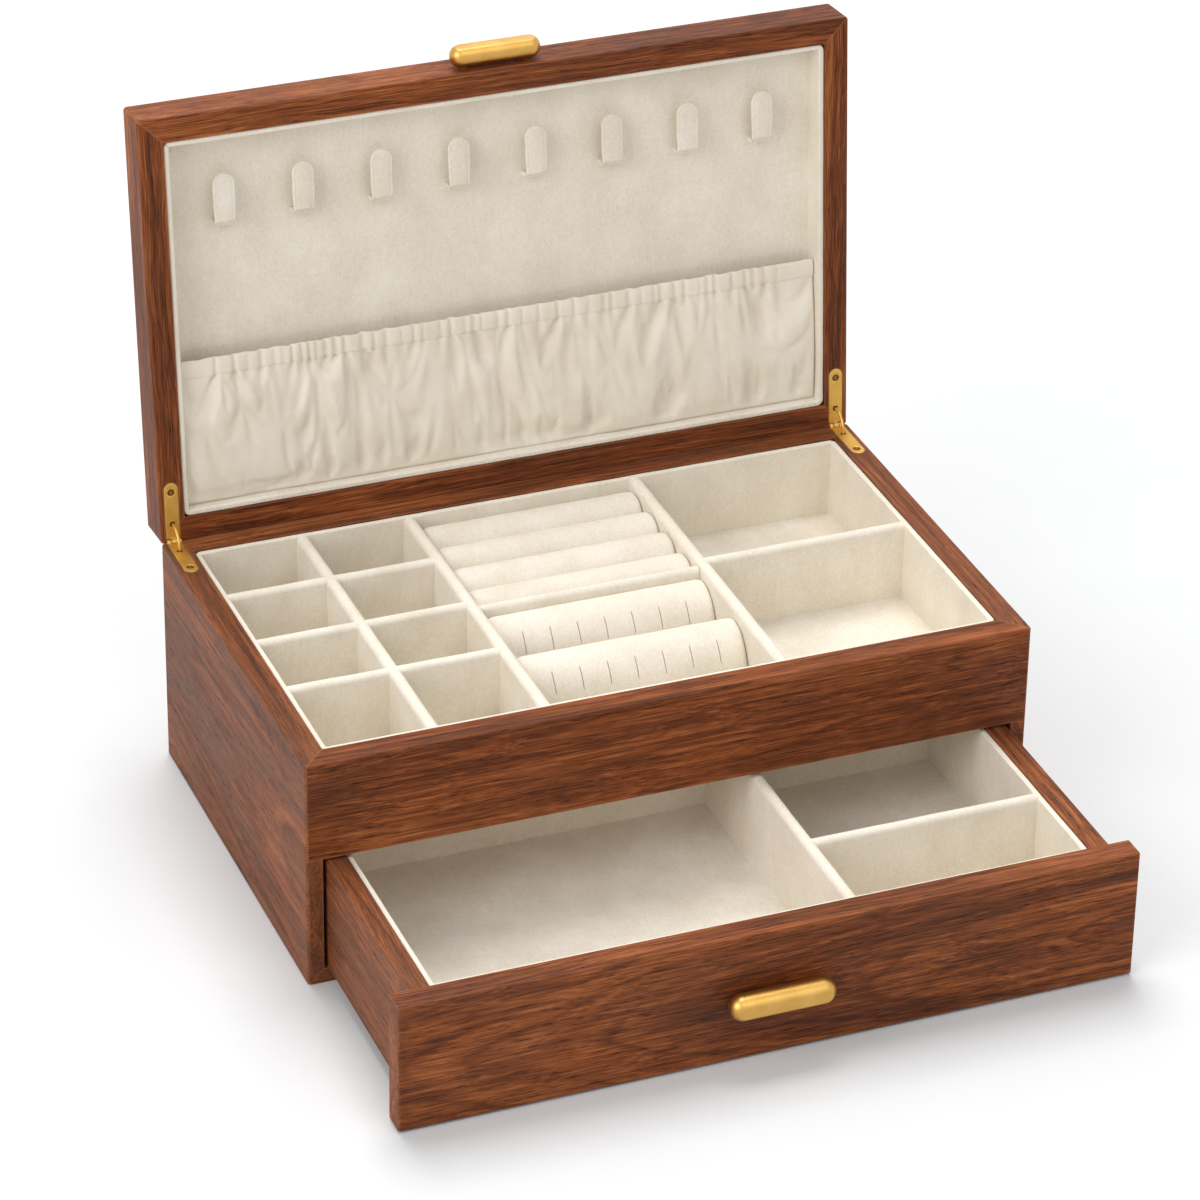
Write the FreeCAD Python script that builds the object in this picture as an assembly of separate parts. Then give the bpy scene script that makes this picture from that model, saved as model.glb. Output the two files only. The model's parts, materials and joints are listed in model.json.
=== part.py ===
"""Ring box with a drawer: a walnut case with a lined tray, a lined drawer and a hinged lid.

The row frame has its origin at the centre of the case's underside. +X runs to the right and
+Y to the back, both seen from the front, and +Z runs up. The box is drawn as it stands in
use: the lid open on its stop hinges and the drawer pulled out.
"""

import FreeCAD, Part
import math
import os

Vector = FreeCAD.Vector
along_x = Vector(1, 0, 0)
along_y = Vector(0, 1, 0)
along_z = Vector(0, 0, 1)

# ---------------------------------------------------------------- case
case_width = 320.0
case_depth = 192.0
case_height = 105.0
wall = 11.0  # walls at the rim
bay_wall = 7.0  # side boards beside the drawer, thinned from inside
bottom_thickness = 7.0
seam_height = 60.0  # lower edge of the panel above the drawer
deck_thickness = 4.0
deck_tongue = 4.0  # how far the deck enters its grooves
deck_lift = 2.0  # wood left below those grooves
corner_round = 1.6
edge_round = 0.9

# ---------------------------------------------------------------- lid
lid_height = 20.0
lid_wall = 11.0
lid_gap = 0.4  # between the two rims when the lid is shut
lid_open_angle = 95.0
hinge_inset = 0.6  # the lid's axis lies this far inside the back
hinge_sink = 0.27  # and this far below the middle of the gap, so that no light shows between the rims
lid_panel = 5.0
lid_panel_seat = 5.5  # width of the rebate that the top panel lies in

# ---------------------------------------------------------------- lining
liner = 2.5  # velvet-covered walls
floor_pad = 2.5
lid_pad = 2.0
lining_drop = 0.6  # how far the lining stays below a rim
soft_edge = 1.1  # rounding of a liner's upper edge
divider_edge = 2.2  # rounding of a divider's upper edge
divider = 5.5  # the three dividers that run front to back
cell_divider = 5.0
small_cell_width = 43.0
ring_section_width = 99.5
front_cell_depth = 46.0
cell_rows = 4
lap_clearance = 0.2  # in the halved joints of the dividers

# ---------------------------------------------------------------- ring section
ring_rolls = 4
roll_pitch = 19.2
roll_gap = 0.3
roll_end_gap = 0.8
roll_drop = 3.0  # crest of a roll below the rim
roll_crest_flat = 0.5  # what stays flat along the crest of a roll
crossbar = 4.5
crossbar_drop = 2.2
pad_depth = 22.5
pad_drop = 4.6
pad_back_round = 5.0
pad_face_foot = 8.0  # where a pad's round face ends above the tray's floor
pad_gap = 0.3
pad_pitch_share = 0.414  # distance between the pads over the room in front of the crossbar

# ---------------------------------------------------------------- drawer
drawer_out = 98.0  # how far the drawer stands open
shut_gap = 0.2  # left between the shut drawer front and the case
front_thickness = 11.0
front_side_play = 0.5  # the front is narrower than the case by this on each side
front_foot = 1.0  # gap under the drawer front
front_head = 0.6  # gap above it
side_play = 1.8
run_gap = 0.3  # under the drawer sides
head_play = 1.5  # over the drawer sides
drawer_length = 158.0  # sides and back, behind the front
drawer_wall = 9.0
drawer_side_round = 0.45
drawer_back_wall = 8.0
drawer_bottom_thickness = 3.0
drawer_bottom_lift = 3.2
drawer_tongue = 4.0
drawer_pad = 2.0
drawer_divider = 5.2
large_compartment = 175.0
front_compartment = 41.5

# ---------------------------------------------------------------- pulls
drawer_pull_length = 46.0
drawer_pull_radius = 5.6
drawer_post_spacing = 32.0
lid_pull_length = 40.5
lid_pull_radius = 5.0
lid_pull_drop = 3.0  # below the middle of the rail, nearer to its foot
lid_post_spacing = 28.0
pull_flat_depth = 0.8  # how much of the round bar its flat face takes off
pull_standoff = 0.3
pull_post_radius = 2.4
pull_screw_radius = 1.7
pull_screw_grip = 5.0  # how far a screw enters its post
pull_head_radius = 3.2
pull_head_height = 2.2
pull_head_sink = 2.6
pull_head_play = 0.2
pull_slot = 0.8

# ---------------------------------------------------------------- hinges
leaf_width = 6.4
leaf_length = 28.0
leaf_thickness = 1.1
knuckle_radius = 1.3
knuckle_play = 0.15
middle_knuckle = 2.4
pin_radius = 0.6
pin_fit = 0.03
knuckle_room = 0.2
hinge_screw_reach = 23.0
hinge_screw_radius = 0.9
hinge_screw_length = 8.5
hinge_head_radius = 1.8
hinge_head_depth = 1.0
hinge_recess = 0.6
hinge_recess_width = 0.45
hinge_recess_length = 2.2
stay_radius = 8.2
stay_thickness = 1.2
stay_play = 0.4
stay_head_width = 3.0
stay_head_radius = 0.75
stay_head_gap = 0.3
mortise_play = 0.6
mortise_web = 0.8  # wood between a mortise and the room of the knuckles
mortise_depth = 10.0

# ---------------------------------------------------------------- lid fittings
hooks = 8
hook_pitch = 34.9
hook_width = 9.8
hook_length = 24.0
hook_reach = 42.5  # from the lid's front to the middle of a hook
hook_gap = 5.4
hook_thickness = 2.0
pocket_height = 66.0
pocket_cloth = 1.0
pocket_mouth = 7.8  # from the lining to the outside of the hem
pocket_belly = 10.4
pocket_foot = 5.0
pocket_hem = 8.0
pocket_belly_start = 33.0  # below the upper edge of the hem
pocket_belly_end = 53.0
pocket_side_gap = 0.4

# ---------------------------------------------------------------- working values
overcut = 1.0  # how far a cutting tool runs past the face it opens
fillet_limit = 0.45  # largest rounding, as a share of the wall it is on
quarter_handle = 0.5523  # a curve's handles that make it a quarter of an ellipse
tolerance = 1e-6

# ---------------------------------------------------------------- derived places
half_width = case_width / 2
front_y = -case_depth / 2
back_y = case_depth / 2
inner_x = half_width - wall
inner_front = front_y + wall
inner_back = back_y - wall
lined_x = inner_x - liner
lined_front = inner_front + liner
lined_back = inner_back - liner
deck_z = seam_height + deck_lift
tray_floor = deck_z + deck_thickness + floor_pad
tray_top = case_height - lining_drop
first_divider_x = -lined_x + small_cell_width + divider / 2
ring_left_x = first_divider_x + divider + small_cell_width
ring_right_x = ring_left_x + divider + ring_section_width
ring_left_face = ring_left_x + divider / 2
ring_right_face = ring_right_x - divider / 2
row_clear = lined_back - lined_front - front_cell_depth - (cell_rows - 1) * cell_divider
row_step = row_clear / (cell_rows - 1) + cell_divider
first_row_y = lined_front + front_cell_depth + cell_divider / 2
middle_row_y = first_row_y + row_step
divider_height = tray_top - tray_floor

lid_z = case_height + lid_gap
lid_top = lid_z + lid_height
hinge_y = back_y - hinge_inset
hinge_z = case_height + lid_gap / 2 - hinge_sink
hinge_x = half_width - wall / 2
lid_inner_x = half_width - lid_wall
lid_inner_front = front_y + lid_wall
lid_inner_back = back_y - lid_wall
lid_lined_x = lid_inner_x - liner
lid_lined_back = lid_inner_back - liner
lid_ceiling = lid_top - lid_panel - lid_pad
lid_lining_foot = lid_z + lining_drop

drawer_front_back_y = front_y - shut_gap
drawer_side_foot = bottom_thickness + run_gap
drawer_side_head = seam_height - head_play
drawer_outer_x = half_width - bay_wall - side_play
drawer_inner_x = drawer_outer_x - drawer_wall
drawer_lined_x = drawer_inner_x - liner
drawer_back_face = drawer_front_back_y + drawer_length
drawer_inner_back = drawer_back_face - drawer_back_wall
drawer_lined_front = drawer_front_back_y + liner
drawer_lined_back = drawer_inner_back - liner
drawer_board_z = drawer_side_foot + drawer_bottom_lift
drawer_floor = drawer_board_z + drawer_bottom_thickness + drawer_pad
drawer_lining_top = drawer_side_head - lining_drop
drawer_divider_x = -drawer_lined_x + large_compartment + drawer_divider / 2


# ---------------------------------------------------------------- helpers
def box(x0, x1, y0, y1, z0, z1):
    """A block between two opposite corners."""
    return Part.makeBox(x1 - x0, y1 - y0, z1 - z0, Vector(x0, y0, z0))


def prism(points, run):
    """A solid from a flat outline, pushed along the vector run."""
    outline = Part.makePolygon([Vector(*p) for p in points] + [Vector(*points[0])])
    return Part.Face(outline).extrude(Vector(*run))


def rod(radius, start, end):
    """A round bar between two points."""
    axis = Vector(*end).sub(Vector(*start))
    return Part.makeCylinder(radius, axis.Length, Vector(*start), axis)


def cut_all(shape, tools):
    """The shape with every tool taken away."""
    for tool in tools:
        shape = shape.cut(tool)
    return shape


def save(name, *solids):
    """Write one node, made of one solid or of several alike."""
    bodies = [solid for shape in solids for solid in shape.Solids]
    shape = bodies[0] if len(bodies) == 1 else Part.makeCompound(bodies)
    shape.exportStep(os.path.join("parts", name + ".step"))


def mirrored(shape):
    """The shape on the other side of the box."""
    return shape.mirror(Vector(0, 0, 0), along_x)


def opened(shape):
    """A piece of the shut lid, turned to where it stands open."""
    turned = shape.copy()
    turned.rotate(Vector(0, hinge_y, hinge_z), -along_x, lid_open_angle)
    return turned


def pulled(shape):
    """A piece of the shut drawer, moved to where it stands open."""
    moved = shape.copy()
    moved.translate(Vector(0, -(drawer_out - shut_gap), 0))
    return moved


def lies_at(edge, z):
    """Whether an edge lies wholly at one level."""
    return all(abs(vertex.Z - z) < tolerance for vertex in edge.Vertexes)


def in_front_plane(edge, y):
    """Whether an edge lies wholly in the upright plane at y."""
    return all(abs(vertex.Y - y) < tolerance for vertex in edge.Vertexes)


def runs_along(edge, direction):
    """Whether an edge is straight and parallel to a direction."""
    return abs(edge.tangentAt(edge.FirstParameter).dot(direction)) > 1 - tolerance


def eased_block(z0, z1):
    """The case's outer form between two levels, with its outer edges eased."""
    block = box(-half_width, half_width, front_y, back_y, z0, z1)
    block = block.makeFillet(corner_round, [e for e in block.Edges if runs_along(e, along_z)])
    rim = [e for e in block.Edges if lies_at(e, z0) or lies_at(e, z1)]
    return block.makeFillet(edge_round, rim)


def mitre_side(z0, z1, thickness, back_only=False):
    """The plan outline of a right-hand side board, mitred at one or both ends."""
    inner = half_width - thickness
    front = [(inner, front_y, z0), (half_width, front_y, z0)]
    if not back_only:
        front = [(inner, front_y + thickness, z0), (half_width, front_y, z0)]
    back = [(half_width, back_y, z0), (inner, back_y - thickness, z0)]
    return prism(front + back, (0, 0, z1 - z0))


def mitre_end(sign, z0, z1, thickness):
    """The plan outline of a front (-1) or back (+1) board, mitred at both ends."""
    y = sign * case_depth / 2
    points = [(-half_width, y, z0), (half_width, y, z0)]
    points += [(half_width - thickness, y - sign * thickness, z0)]
    points += [(-half_width + thickness, y - sign * thickness, z0)]
    return prism(points, (0, 0, z1 - z0))


def soft_board(x0, x1, y0, y1, z0, z1, rounding=soft_edge):
    """A velvet-covered board on edge, rounded along its upper edge."""
    board = box(x0, x1, y0, y1, z0, z1)
    run = along_x if x1 - x0 > y1 - y0 else along_y
    thickness = min(x1 - x0, y1 - y0)
    ridge = [e for e in board.Edges if lies_at(e, z1) and runs_along(e, run)]
    return board.makeFillet(min(rounding, fillet_limit * thickness), ridge)


# ---------------------------------------------------------------- hinge shapes, right-hand side
def slab(x_width, y_from, y_to, z0, z1):
    """A flat strip centred on the hinge, with a rounded end away from the pin."""
    strip = box(hinge_x - x_width / 2, hinge_x + x_width / 2, y_from, y_to, z0, z1)
    end = Part.makeCylinder(x_width / 2, z1 - z0, Vector(hinge_x, y_from, z0))
    return strip.fuse(end).removeSplitter()


def leaf_strip(z0, z1):
    """The outline of a leaf or of its seat between two levels."""
    return slab(leaf_width, back_y - leaf_length + leaf_width / 2, back_y, z0, z1)


def knuckle_tool(radius):
    """The round room that the hinge's barrel needs."""
    left = hinge_x - leaf_width / 2
    return barrel(radius, left, left + leaf_width)


def mortise(z0, z1):
    """The pocket in the wood that takes an end of the stay."""
    half_x = stay_head_width / 2 + mortise_play
    half_y = stay_thickness / 2 + stay_head_radius + mortise_play
    y = hinge_y - stay_radius
    inner_y = y + stay_radius - knuckle_radius - knuckle_room - mortise_web
    return box(hinge_x - half_x, hinge_x + half_x, y - half_y, inner_y, z0, z1)


def screw_hole(z0, z1):
    """The pilot hole of a hinge screw."""
    y = hinge_y - hinge_screw_reach
    return rod(hinge_screw_radius, (hinge_x, y, z0), (hinge_x, y, z1))


def lower_hinge_cuts():
    """Everything that the right-hand hinge takes out of the case's rim."""
    seat = leaf_strip(case_height - leaf_thickness, case_height + overcut)
    pocket = mortise(case_height - mortise_depth, case_height)
    reach = case_height - leaf_thickness - hinge_screw_length
    pilot = screw_hole(reach, case_height)
    return [seat, pocket, pilot, knuckle_tool(knuckle_radius + knuckle_room)]


def upper_hinge_cuts():
    """Everything that the right-hand hinge takes out of the lid's rim."""
    seat = leaf_strip(lid_z - overcut, lid_z + leaf_thickness)
    pocket = mortise(lid_z, lid_z + mortise_depth)
    reach = lid_z + leaf_thickness + hinge_screw_length
    pilot = screw_hole(lid_z, reach)
    return [seat, pocket, pilot, knuckle_tool(knuckle_radius + knuckle_room)]


def both_sides(tools):
    """The tools and their mirror images."""
    return tools + [mirrored(tool) for tool in tools]


def countersink(z_face, toward):
    """A countersunk head at a leaf's face, narrowing the way that toward (+1 or -1) gives."""
    y = hinge_y - hinge_screw_reach
    neck = hinge_screw_radius
    cone_axis = Vector(0, 0, toward)
    foot = Vector(hinge_x, y, z_face)
    return Part.makeCone(hinge_head_radius, neck, hinge_head_depth, foot, cone_axis)


def barrel(radius, x0, x1):
    """A stretch of the hinge's barrel."""
    return rod(radius, (x0, hinge_y, hinge_z), (x1, hinge_y, hinge_z))


def leaf(z_face, toward, own_spans, other_spans):
    """One leaf of the right-hand hinge: plate, knuckles, slot and screw hole.

    toward is -1 for the lower leaf, which lies below its face, and +1 for the upper one.
    """
    z_far = z_face + toward * leaf_thickness
    low, high = sorted((z_face, z_far))
    plate = leaf_strip(low, high)
    half_play = knuckle_play / 2
    for x0, x1 in other_spans:
        plate = plate.cut(barrel(knuckle_radius + knuckle_room, x0 - half_play, x1 + half_play))
    for x0, x1 in own_spans:
        plate = plate.fuse(barrel(knuckle_radius, x0, x1))
    plate = plate.cut(knuckle_tool(pin_radius + pin_fit))
    half_x = stay_thickness / 2 + stay_play
    y = hinge_y - stay_radius
    slot = box(hinge_x - half_x, hinge_x + half_x, y - half_x, y + half_x, low, high)
    plate = plate.cut(slot).cut(countersink(z_face, toward)).cut(screw_hole(low, high))
    return plate.removeSplitter()


def knuckle_spans():
    """X ranges of the lower leaf's two outer knuckles and of the upper leaf's middle one."""
    left = hinge_x - leaf_width / 2
    right = hinge_x + leaf_width / 2
    mid0 = hinge_x - middle_knuckle / 2
    mid1 = hinge_x + middle_knuckle / 2
    outer = [(left, mid0 - knuckle_play), (mid1 + knuckle_play, right)]
    return outer, [(mid0, mid1)]


def hinge_screw(z_face, toward):
    """A countersunk wood screw with a cross recess."""
    y = hinge_y - hinge_screw_reach
    head = countersink(z_face, toward)
    tip = z_face + toward * (leaf_thickness + hinge_screw_length)
    shank = rod(hinge_screw_radius, (hinge_x, y, z_face), (hinge_x, y, tip))
    arm = hinge_recess_length / 2
    half = hinge_recess_width / 2
    low, high = sorted((z_face, z_face + toward * hinge_recess))
    cross = box(hinge_x - arm, hinge_x + arm, y - half, y + half, low, high)
    cross = cross.fuse(box(hinge_x - half, hinge_x + half, y - arm, y + arm, low, high))
    return head.fuse(shank).cut(cross).removeSplitter()


def around_hinge(angle):
    """The point of the stay's arc at an angle from the back, seen from the right."""
    turn = math.radians(angle)
    y = hinge_y + stay_radius * math.cos(turn)
    return Vector(hinge_x, y, hinge_z + stay_radius * math.sin(turn))


def stay():
    """The curved arm that stops the open lid, with a cross head at each end."""
    head_dip = leaf_thickness + stay_head_gap + stay_head_radius
    in_lid = math.degrees(math.asin((head_dip + lid_z - hinge_z) / stay_radius))
    in_case = math.degrees(math.asin((head_dip + hinge_z - case_height) / stay_radius))
    start = 180 - lid_open_angle - in_lid
    end = 180 + in_case
    path = Part.Arc(around_hinge(start), around_hinge((start + end) / 2), around_hinge(end)).toShape()
    profile = Part.Circle(around_hinge(start), path.tangentAt(path.FirstParameter), stay_thickness / 2)
    arm = Part.Wire([path]).makePipeShell([Part.Wire([profile.toShape()])], True, True)
    half = Vector(stay_head_width / 2, 0, 0)
    for angle in (start, end):
        point = around_hinge(angle)
        arm = arm.fuse(rod(stay_head_radius, tuple(point.sub(half)), tuple(point.add(half))))
    return arm


def build_hinges():
    """Both stop hinges: leaves, pins, stays and screws."""
    outer, middle = knuckle_spans()
    lower = leaf(case_height, -1, outer, middle)
    upper = opened(leaf(lid_z, 1, middle, outer))
    pin = knuckle_tool(pin_radius)
    lower_screw = hinge_screw(case_height, -1)
    upper_screw = opened(hinge_screw(lid_z, 1))
    arm = stay()
    for side, place in (("right", lambda s: s), ("left", mirrored)):
        save("hinge_lower_leaf_" + side, place(lower))
        save("hinge_upper_leaf_" + side, place(upper))
        save("hinge_stay_" + side, place(arm))
    save("hinge_pins", pin, mirrored(pin))
    save("hinge_screws_case", lower_screw, mirrored(lower_screw))
    save("hinge_screws_lid", upper_screw, mirrored(upper_screw))


# ---------------------------------------------------------------- case
def deck_room():
    """The deck's outline, tongues included."""
    x = inner_x + deck_tongue
    y = -inner_front + deck_tongue
    return box(-x, x, -y, y, deck_z, deck_z + deck_thickness)


def build_case():
    """The six boards of the case."""
    form = eased_block(0, case_height)
    upper = mitre_side(seam_height, case_height, wall)
    lower = mitre_side(0, seam_height, bay_wall, back_only=True)
    corner = [(half_width - bay_wall, front_y, bottom_thickness), (half_width, front_y, 0)]
    corner += [(half_width - bay_wall, front_y, 0)]
    side = upper.fuse(lower).removeSplitter().cut(prism(corner, (0, case_depth, 0)))
    side = cut_all(side.common(form), lower_hinge_cuts() + [deck_room()])
    save("case_right_side", side)
    save("case_left_side", mirrored(side))

    back = mitre_end(1, 0, case_height, wall)
    side_in_back = mitre_side(0, seam_height, bay_wall, back_only=True)
    back = back.cut(side_in_back).cut(mirrored(side_in_back)).common(form)
    save("case_back", cut_all(back, both_sides(lower_hinge_cuts()) + [deck_room()]))

    front = mitre_end(-1, seam_height, case_height, wall).common(form)
    save("upper_front_panel", front.cut(deck_room()))
    save("tray_deck", deck_room())

    inner = half_width - bay_wall
    outline = [(-half_width, front_y, 0), (half_width, front_y, 0)]
    outline += [(inner, front_y, bottom_thickness), (-inner, front_y, bottom_thickness)]
    board = prism(outline, (0, inner_back - front_y, 0))
    save("bottom_board", board.common(form))


# ---------------------------------------------------------------- tray lining
def build_tray_lining():
    """The padded floor and the four lined walls of the tray."""
    foot = deck_z + deck_thickness
    save("tray_floor_pad", box(-inner_x, inner_x, inner_front, inner_back, foot, tray_floor))
    right = soft_board(lined_x, inner_x, inner_front, inner_back, tray_floor, tray_top)
    save("tray_liner_right", right)
    save("tray_liner_left", mirrored(right))
    for name, y0, y1 in (("front", inner_front, lined_front), ("back", lined_back, inner_back)):
        save("tray_liner_" + name, soft_board(-lined_x, lined_x, y0, y1, tray_floor, tray_top))


def row_positions():
    """Y of the middle of each divider between the small cells, front to back."""
    return [first_row_y + row * row_step for row in range(cell_rows - 1)]


def long_divider(x):
    """A divider that runs from the front of the tray to its back."""
    half = divider / 2
    x0 = x - half
    return soft_board(x0, x + half, lined_front, lined_back, tray_floor, tray_top, divider_edge)


def cross_divider(x0, x1, y):
    """A divider that runs from one long divider, or from the lining, to the next."""
    half = cell_divider / 2
    return soft_board(x0, x1, y - half, y + half, tray_floor, tray_top, divider_edge)


def build_tray_dividers():
    """The dividers of the small cells, of the ring section and of the right-hand section."""
    lap_z = tray_floor + divider_height / 2
    reach = cell_divider / 2 + lap_clearance
    cell_column = long_divider(first_divider_x)
    left_edge = first_divider_x - divider / 2
    right_edge = first_divider_x + divider / 2
    for y in row_positions():
        lap = box(left_edge, right_edge, y - reach, y + reach, lap_z, case_height)
        cell_column = cell_column.cut(lap)
    save("small_cell_divider", cell_column)
    save("ring_section_divider_left", long_divider(ring_left_x))
    save("ring_section_divider_right", long_divider(ring_right_x))

    slot_left = left_edge - lap_clearance
    slot_right = right_edge + lap_clearance
    for name, y in zip(("front", "middle", "rear"), row_positions()):
        lap = box(slot_left, slot_right, y - reach, y + reach, tray_floor, lap_z)
        row = cross_divider(-lined_x, ring_left_x - divider / 2, y)
        save("cell_row_divider_" + name, row.cut(lap))
    start = ring_right_x + divider / 2
    save("right_section_divider", cross_divider(start, lined_x, middle_row_y))


# ---------------------------------------------------------------- ring section
def ring_roll(y_back):
    """One foam roll: a bar with upright sides and a rounded crest."""
    x0 = ring_left_face + roll_end_gap
    x1 = ring_right_face - roll_end_gap
    y0 = y_back - roll_pitch + roll_gap
    crest = case_height - roll_drop
    roll = box(x0, x1, y0, y_back, tray_floor, crest)
    ridge = [e for e in roll.Edges if lies_at(e, crest) and runs_along(e, along_x)]
    return roll.makeFillet((y_back - y0 - roll_crest_flat) / 2, ridge)


def slotted_pad(y_back):
    """A pad with a round crest and a steep rounded face to the front."""
    crest = case_height - pad_drop
    top_y = y_back - pad_back_round
    y_front = y_back - pad_depth
    face_foot = tray_floor + pad_face_foot
    part_round = pad_back_round * math.sqrt(0.5)
    x0 = ring_left_face + roll_end_gap

    def at(y, z):
        return Vector(x0, y, z)

    back_arc = Part.Arc(
        at(y_back, crest - pad_back_round),
        at(top_y + part_round, crest - pad_back_round + part_round),
        at(top_y, crest),
    )
    face = Part.BezierCurve()
    face.setPoles(
        [
            at(top_y, crest),
            at(top_y - quarter_handle * (top_y - y_front), crest),
            at(y_front, face_foot + quarter_handle * (crest - face_foot)),
            at(y_front, face_foot),
        ]
    )
    edges = [
        Part.LineSegment(at(y_front, tray_floor), at(y_back, tray_floor)).toShape(),
        Part.LineSegment(at(y_back, tray_floor), at(y_back, crest - pad_back_round)).toShape(),
        back_arc.toShape(),
        face.toShape(),
        Part.LineSegment(at(y_front, face_foot), at(y_front, tray_floor)).toShape(),
    ]
    length = ring_section_width - 2 * roll_end_gap
    return Part.Face(Part.Wire(edges)).extrude(Vector(length, 0, 0))


def build_ring_section():
    """Four ring rolls, a low crossbar and two pads with slots for rings and studs."""
    backs = [lined_back - roll_gap - number * roll_pitch for number in range(ring_rolls)]
    save("ring_rolls", *[ring_roll(y_back) for y_back in backs])
    bar_back = lined_back - ring_rolls * roll_pitch - roll_gap
    bar_front = bar_back - crossbar
    bar_top = case_height - crossbar_drop
    bar = soft_board(ring_left_face, ring_right_face, bar_front, bar_back, tray_floor, bar_top)
    save("ring_section_crossbar", bar)
    rear_back = bar_front - pad_gap
    pad_pitch = pad_pitch_share * (bar_front - lined_front)
    save("ring_pad_rear", slotted_pad(rear_back))
    save("ring_pad_front", slotted_pad(rear_back - pad_pitch))


# ---------------------------------------------------------------- pulls
class Pull:
    """A capsule-shaped pull on two posts, screwed to a board whose face looks to -Y."""

    def __init__(self, name, length, radius, post_spacing, face_y, board, centre_z):
        self.name = name
        self.radius = radius
        self.half_bar = length / 2 - radius
        self.post_x = (-post_spacing / 2, post_spacing / 2)
        self.face_y = face_y
        self.axis_y = face_y - pull_standoff - radius
        self.inside_y = face_y + board
        self.seat_y = face_y + board - pull_head_sink
        self.tip_y = face_y - pull_screw_grip
        self.centre_z = centre_z

    def across(self, radius, x, y0, y1):
        """A round bar from front to back at the pull's height."""
        return rod(radius, (x, y0, self.centre_z), (x, y1, self.centre_z))

    def bar(self):
        """The round bar with its flat front, its posts and their screw holes."""
        z = self.centre_z
        bar = rod(self.radius, (-self.half_bar, self.axis_y, z), (self.half_bar, self.axis_y, z))
        for x in (-self.half_bar, self.half_bar):
            bar = bar.fuse(Part.makeSphere(self.radius, Vector(x, self.axis_y, z)))
        reach = self.half_bar + self.radius
        nose_y = self.axis_y - self.radius
        flat_y = nose_y + pull_flat_depth
        bar = bar.cut(box(-reach, reach, nose_y, flat_y, z - self.radius, z + self.radius))
        for x in self.post_x:
            bar = bar.fuse(self.across(pull_post_radius, x, self.axis_y, self.face_y))
            bar = bar.cut(self.across(pull_screw_radius, x, self.tip_y, self.inside_y))
        return bar.removeSplitter()

    def screw(self, x):
        """A pan-head screw through the board into a post, with a driver slot."""
        top_y = self.seat_y + pull_head_height
        shank = self.across(pull_screw_radius, x, self.tip_y, self.seat_y)
        head = self.across(pull_head_radius, x, self.seat_y, top_y)
        half = pull_slot / 2
        x0 = x - pull_head_radius
        x1 = x + pull_head_radius
        slot = box(x0, x1, top_y - pull_slot, top_y, self.centre_z - half, self.centre_z + half)
        return head.fuse(shank).cut(slot).removeSplitter()

    def holes(self):
        """The two screw holes of the board, with the sunk seats of the screw heads."""
        seat_radius = pull_head_radius + pull_head_play
        shanks = [self.across(pull_screw_radius, x, self.face_y, self.inside_y) for x in self.post_x]
        seats = [self.across(seat_radius, x, self.seat_y, self.inside_y) for x in self.post_x]
        return shanks + seats

    def write(self, place):
        """Write the pull and its two screws where the function place puts them."""
        save(self.name, place(self.bar()))
        save(self.name + "_screws", *[place(self.screw(x)) for x in self.post_x])


# ---------------------------------------------------------------- drawer
def drawer_board():
    """The drawer's bottom board, tongues included."""
    x = drawer_inner_x + drawer_tongue
    front = drawer_front_back_y - drawer_tongue
    top = drawer_board_z + drawer_bottom_thickness
    return box(-x, x, front, drawer_inner_back + drawer_tongue, drawer_board_z, top)


def build_drawer_box():
    """Front, sides, back and bottom of the drawer."""
    half = half_width - front_side_play
    front_face = drawer_front_back_y - front_thickness
    head = seam_height - front_head
    front = box(-half, half, front_face, drawer_front_back_y, front_foot, head)
    front = front.makeFillet(edge_round, [e for e in front.Edges if in_front_plane(e, front_face)])
    pull = Pull(
        "drawer_pull",
        drawer_pull_length,
        drawer_pull_radius,
        drawer_post_spacing,
        front_face,
        front_thickness,
        (front_foot + head) / 2,
    )
    pull.write(pulled)
    save("drawer_front", pulled(cut_all(front, pull.holes() + [drawer_board()])))

    foot = drawer_side_foot
    head = drawer_side_head
    side = box(drawer_inner_x, drawer_outer_x, drawer_front_back_y, drawer_back_face, foot, head)
    ridge = [e for e in side.Edges if lies_at(e, head) and runs_along(e, along_y)]
    side = side.makeFillet(drawer_side_round, ridge).cut(drawer_board())
    save("drawer_right_side", pulled(side))
    save("drawer_left_side", pulled(mirrored(side)))
    x = drawer_inner_x
    back = box(-x, x, drawer_inner_back, drawer_back_face, foot, head)
    save("drawer_back", pulled(back.cut(drawer_board())))
    save("drawer_bottom", pulled(drawer_board()))


def build_drawer_lining():
    """The padded floor, lined walls and dividers of the drawer."""
    foot = drawer_board_z + drawer_bottom_thickness
    x_in = drawer_inner_x
    x_lined = drawer_lined_x
    y0 = drawer_front_back_y
    y1 = drawer_inner_back
    top = drawer_lining_top
    save("drawer_floor_pad", pulled(box(-x_in, x_in, y0, y1, foot, drawer_floor)))
    right = soft_board(x_lined, x_in, y0, y1, drawer_floor, top)
    save("drawer_liner_right", pulled(right))
    save("drawer_liner_left", pulled(mirrored(right)))
    front = soft_board(-x_lined, x_lined, y0, drawer_lined_front, drawer_floor, top)
    save("drawer_liner_front", pulled(front))
    back = soft_board(-x_lined, x_lined, drawer_lined_back, y1, drawer_floor, top)
    save("drawer_liner_back", pulled(back))
    half = drawer_divider / 2
    x = drawer_divider_x
    y0 = drawer_lined_front
    y1 = drawer_lined_back
    long = soft_board(x - half, x + half, y0, y1, drawer_floor, top, divider_edge)
    save("drawer_long_divider", pulled(long))
    y = drawer_lined_front + front_compartment + half
    cross = soft_board(x + half, x_lined, y - half, y + half, drawer_floor, top, divider_edge)
    save("drawer_cross_divider", pulled(cross))


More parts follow.
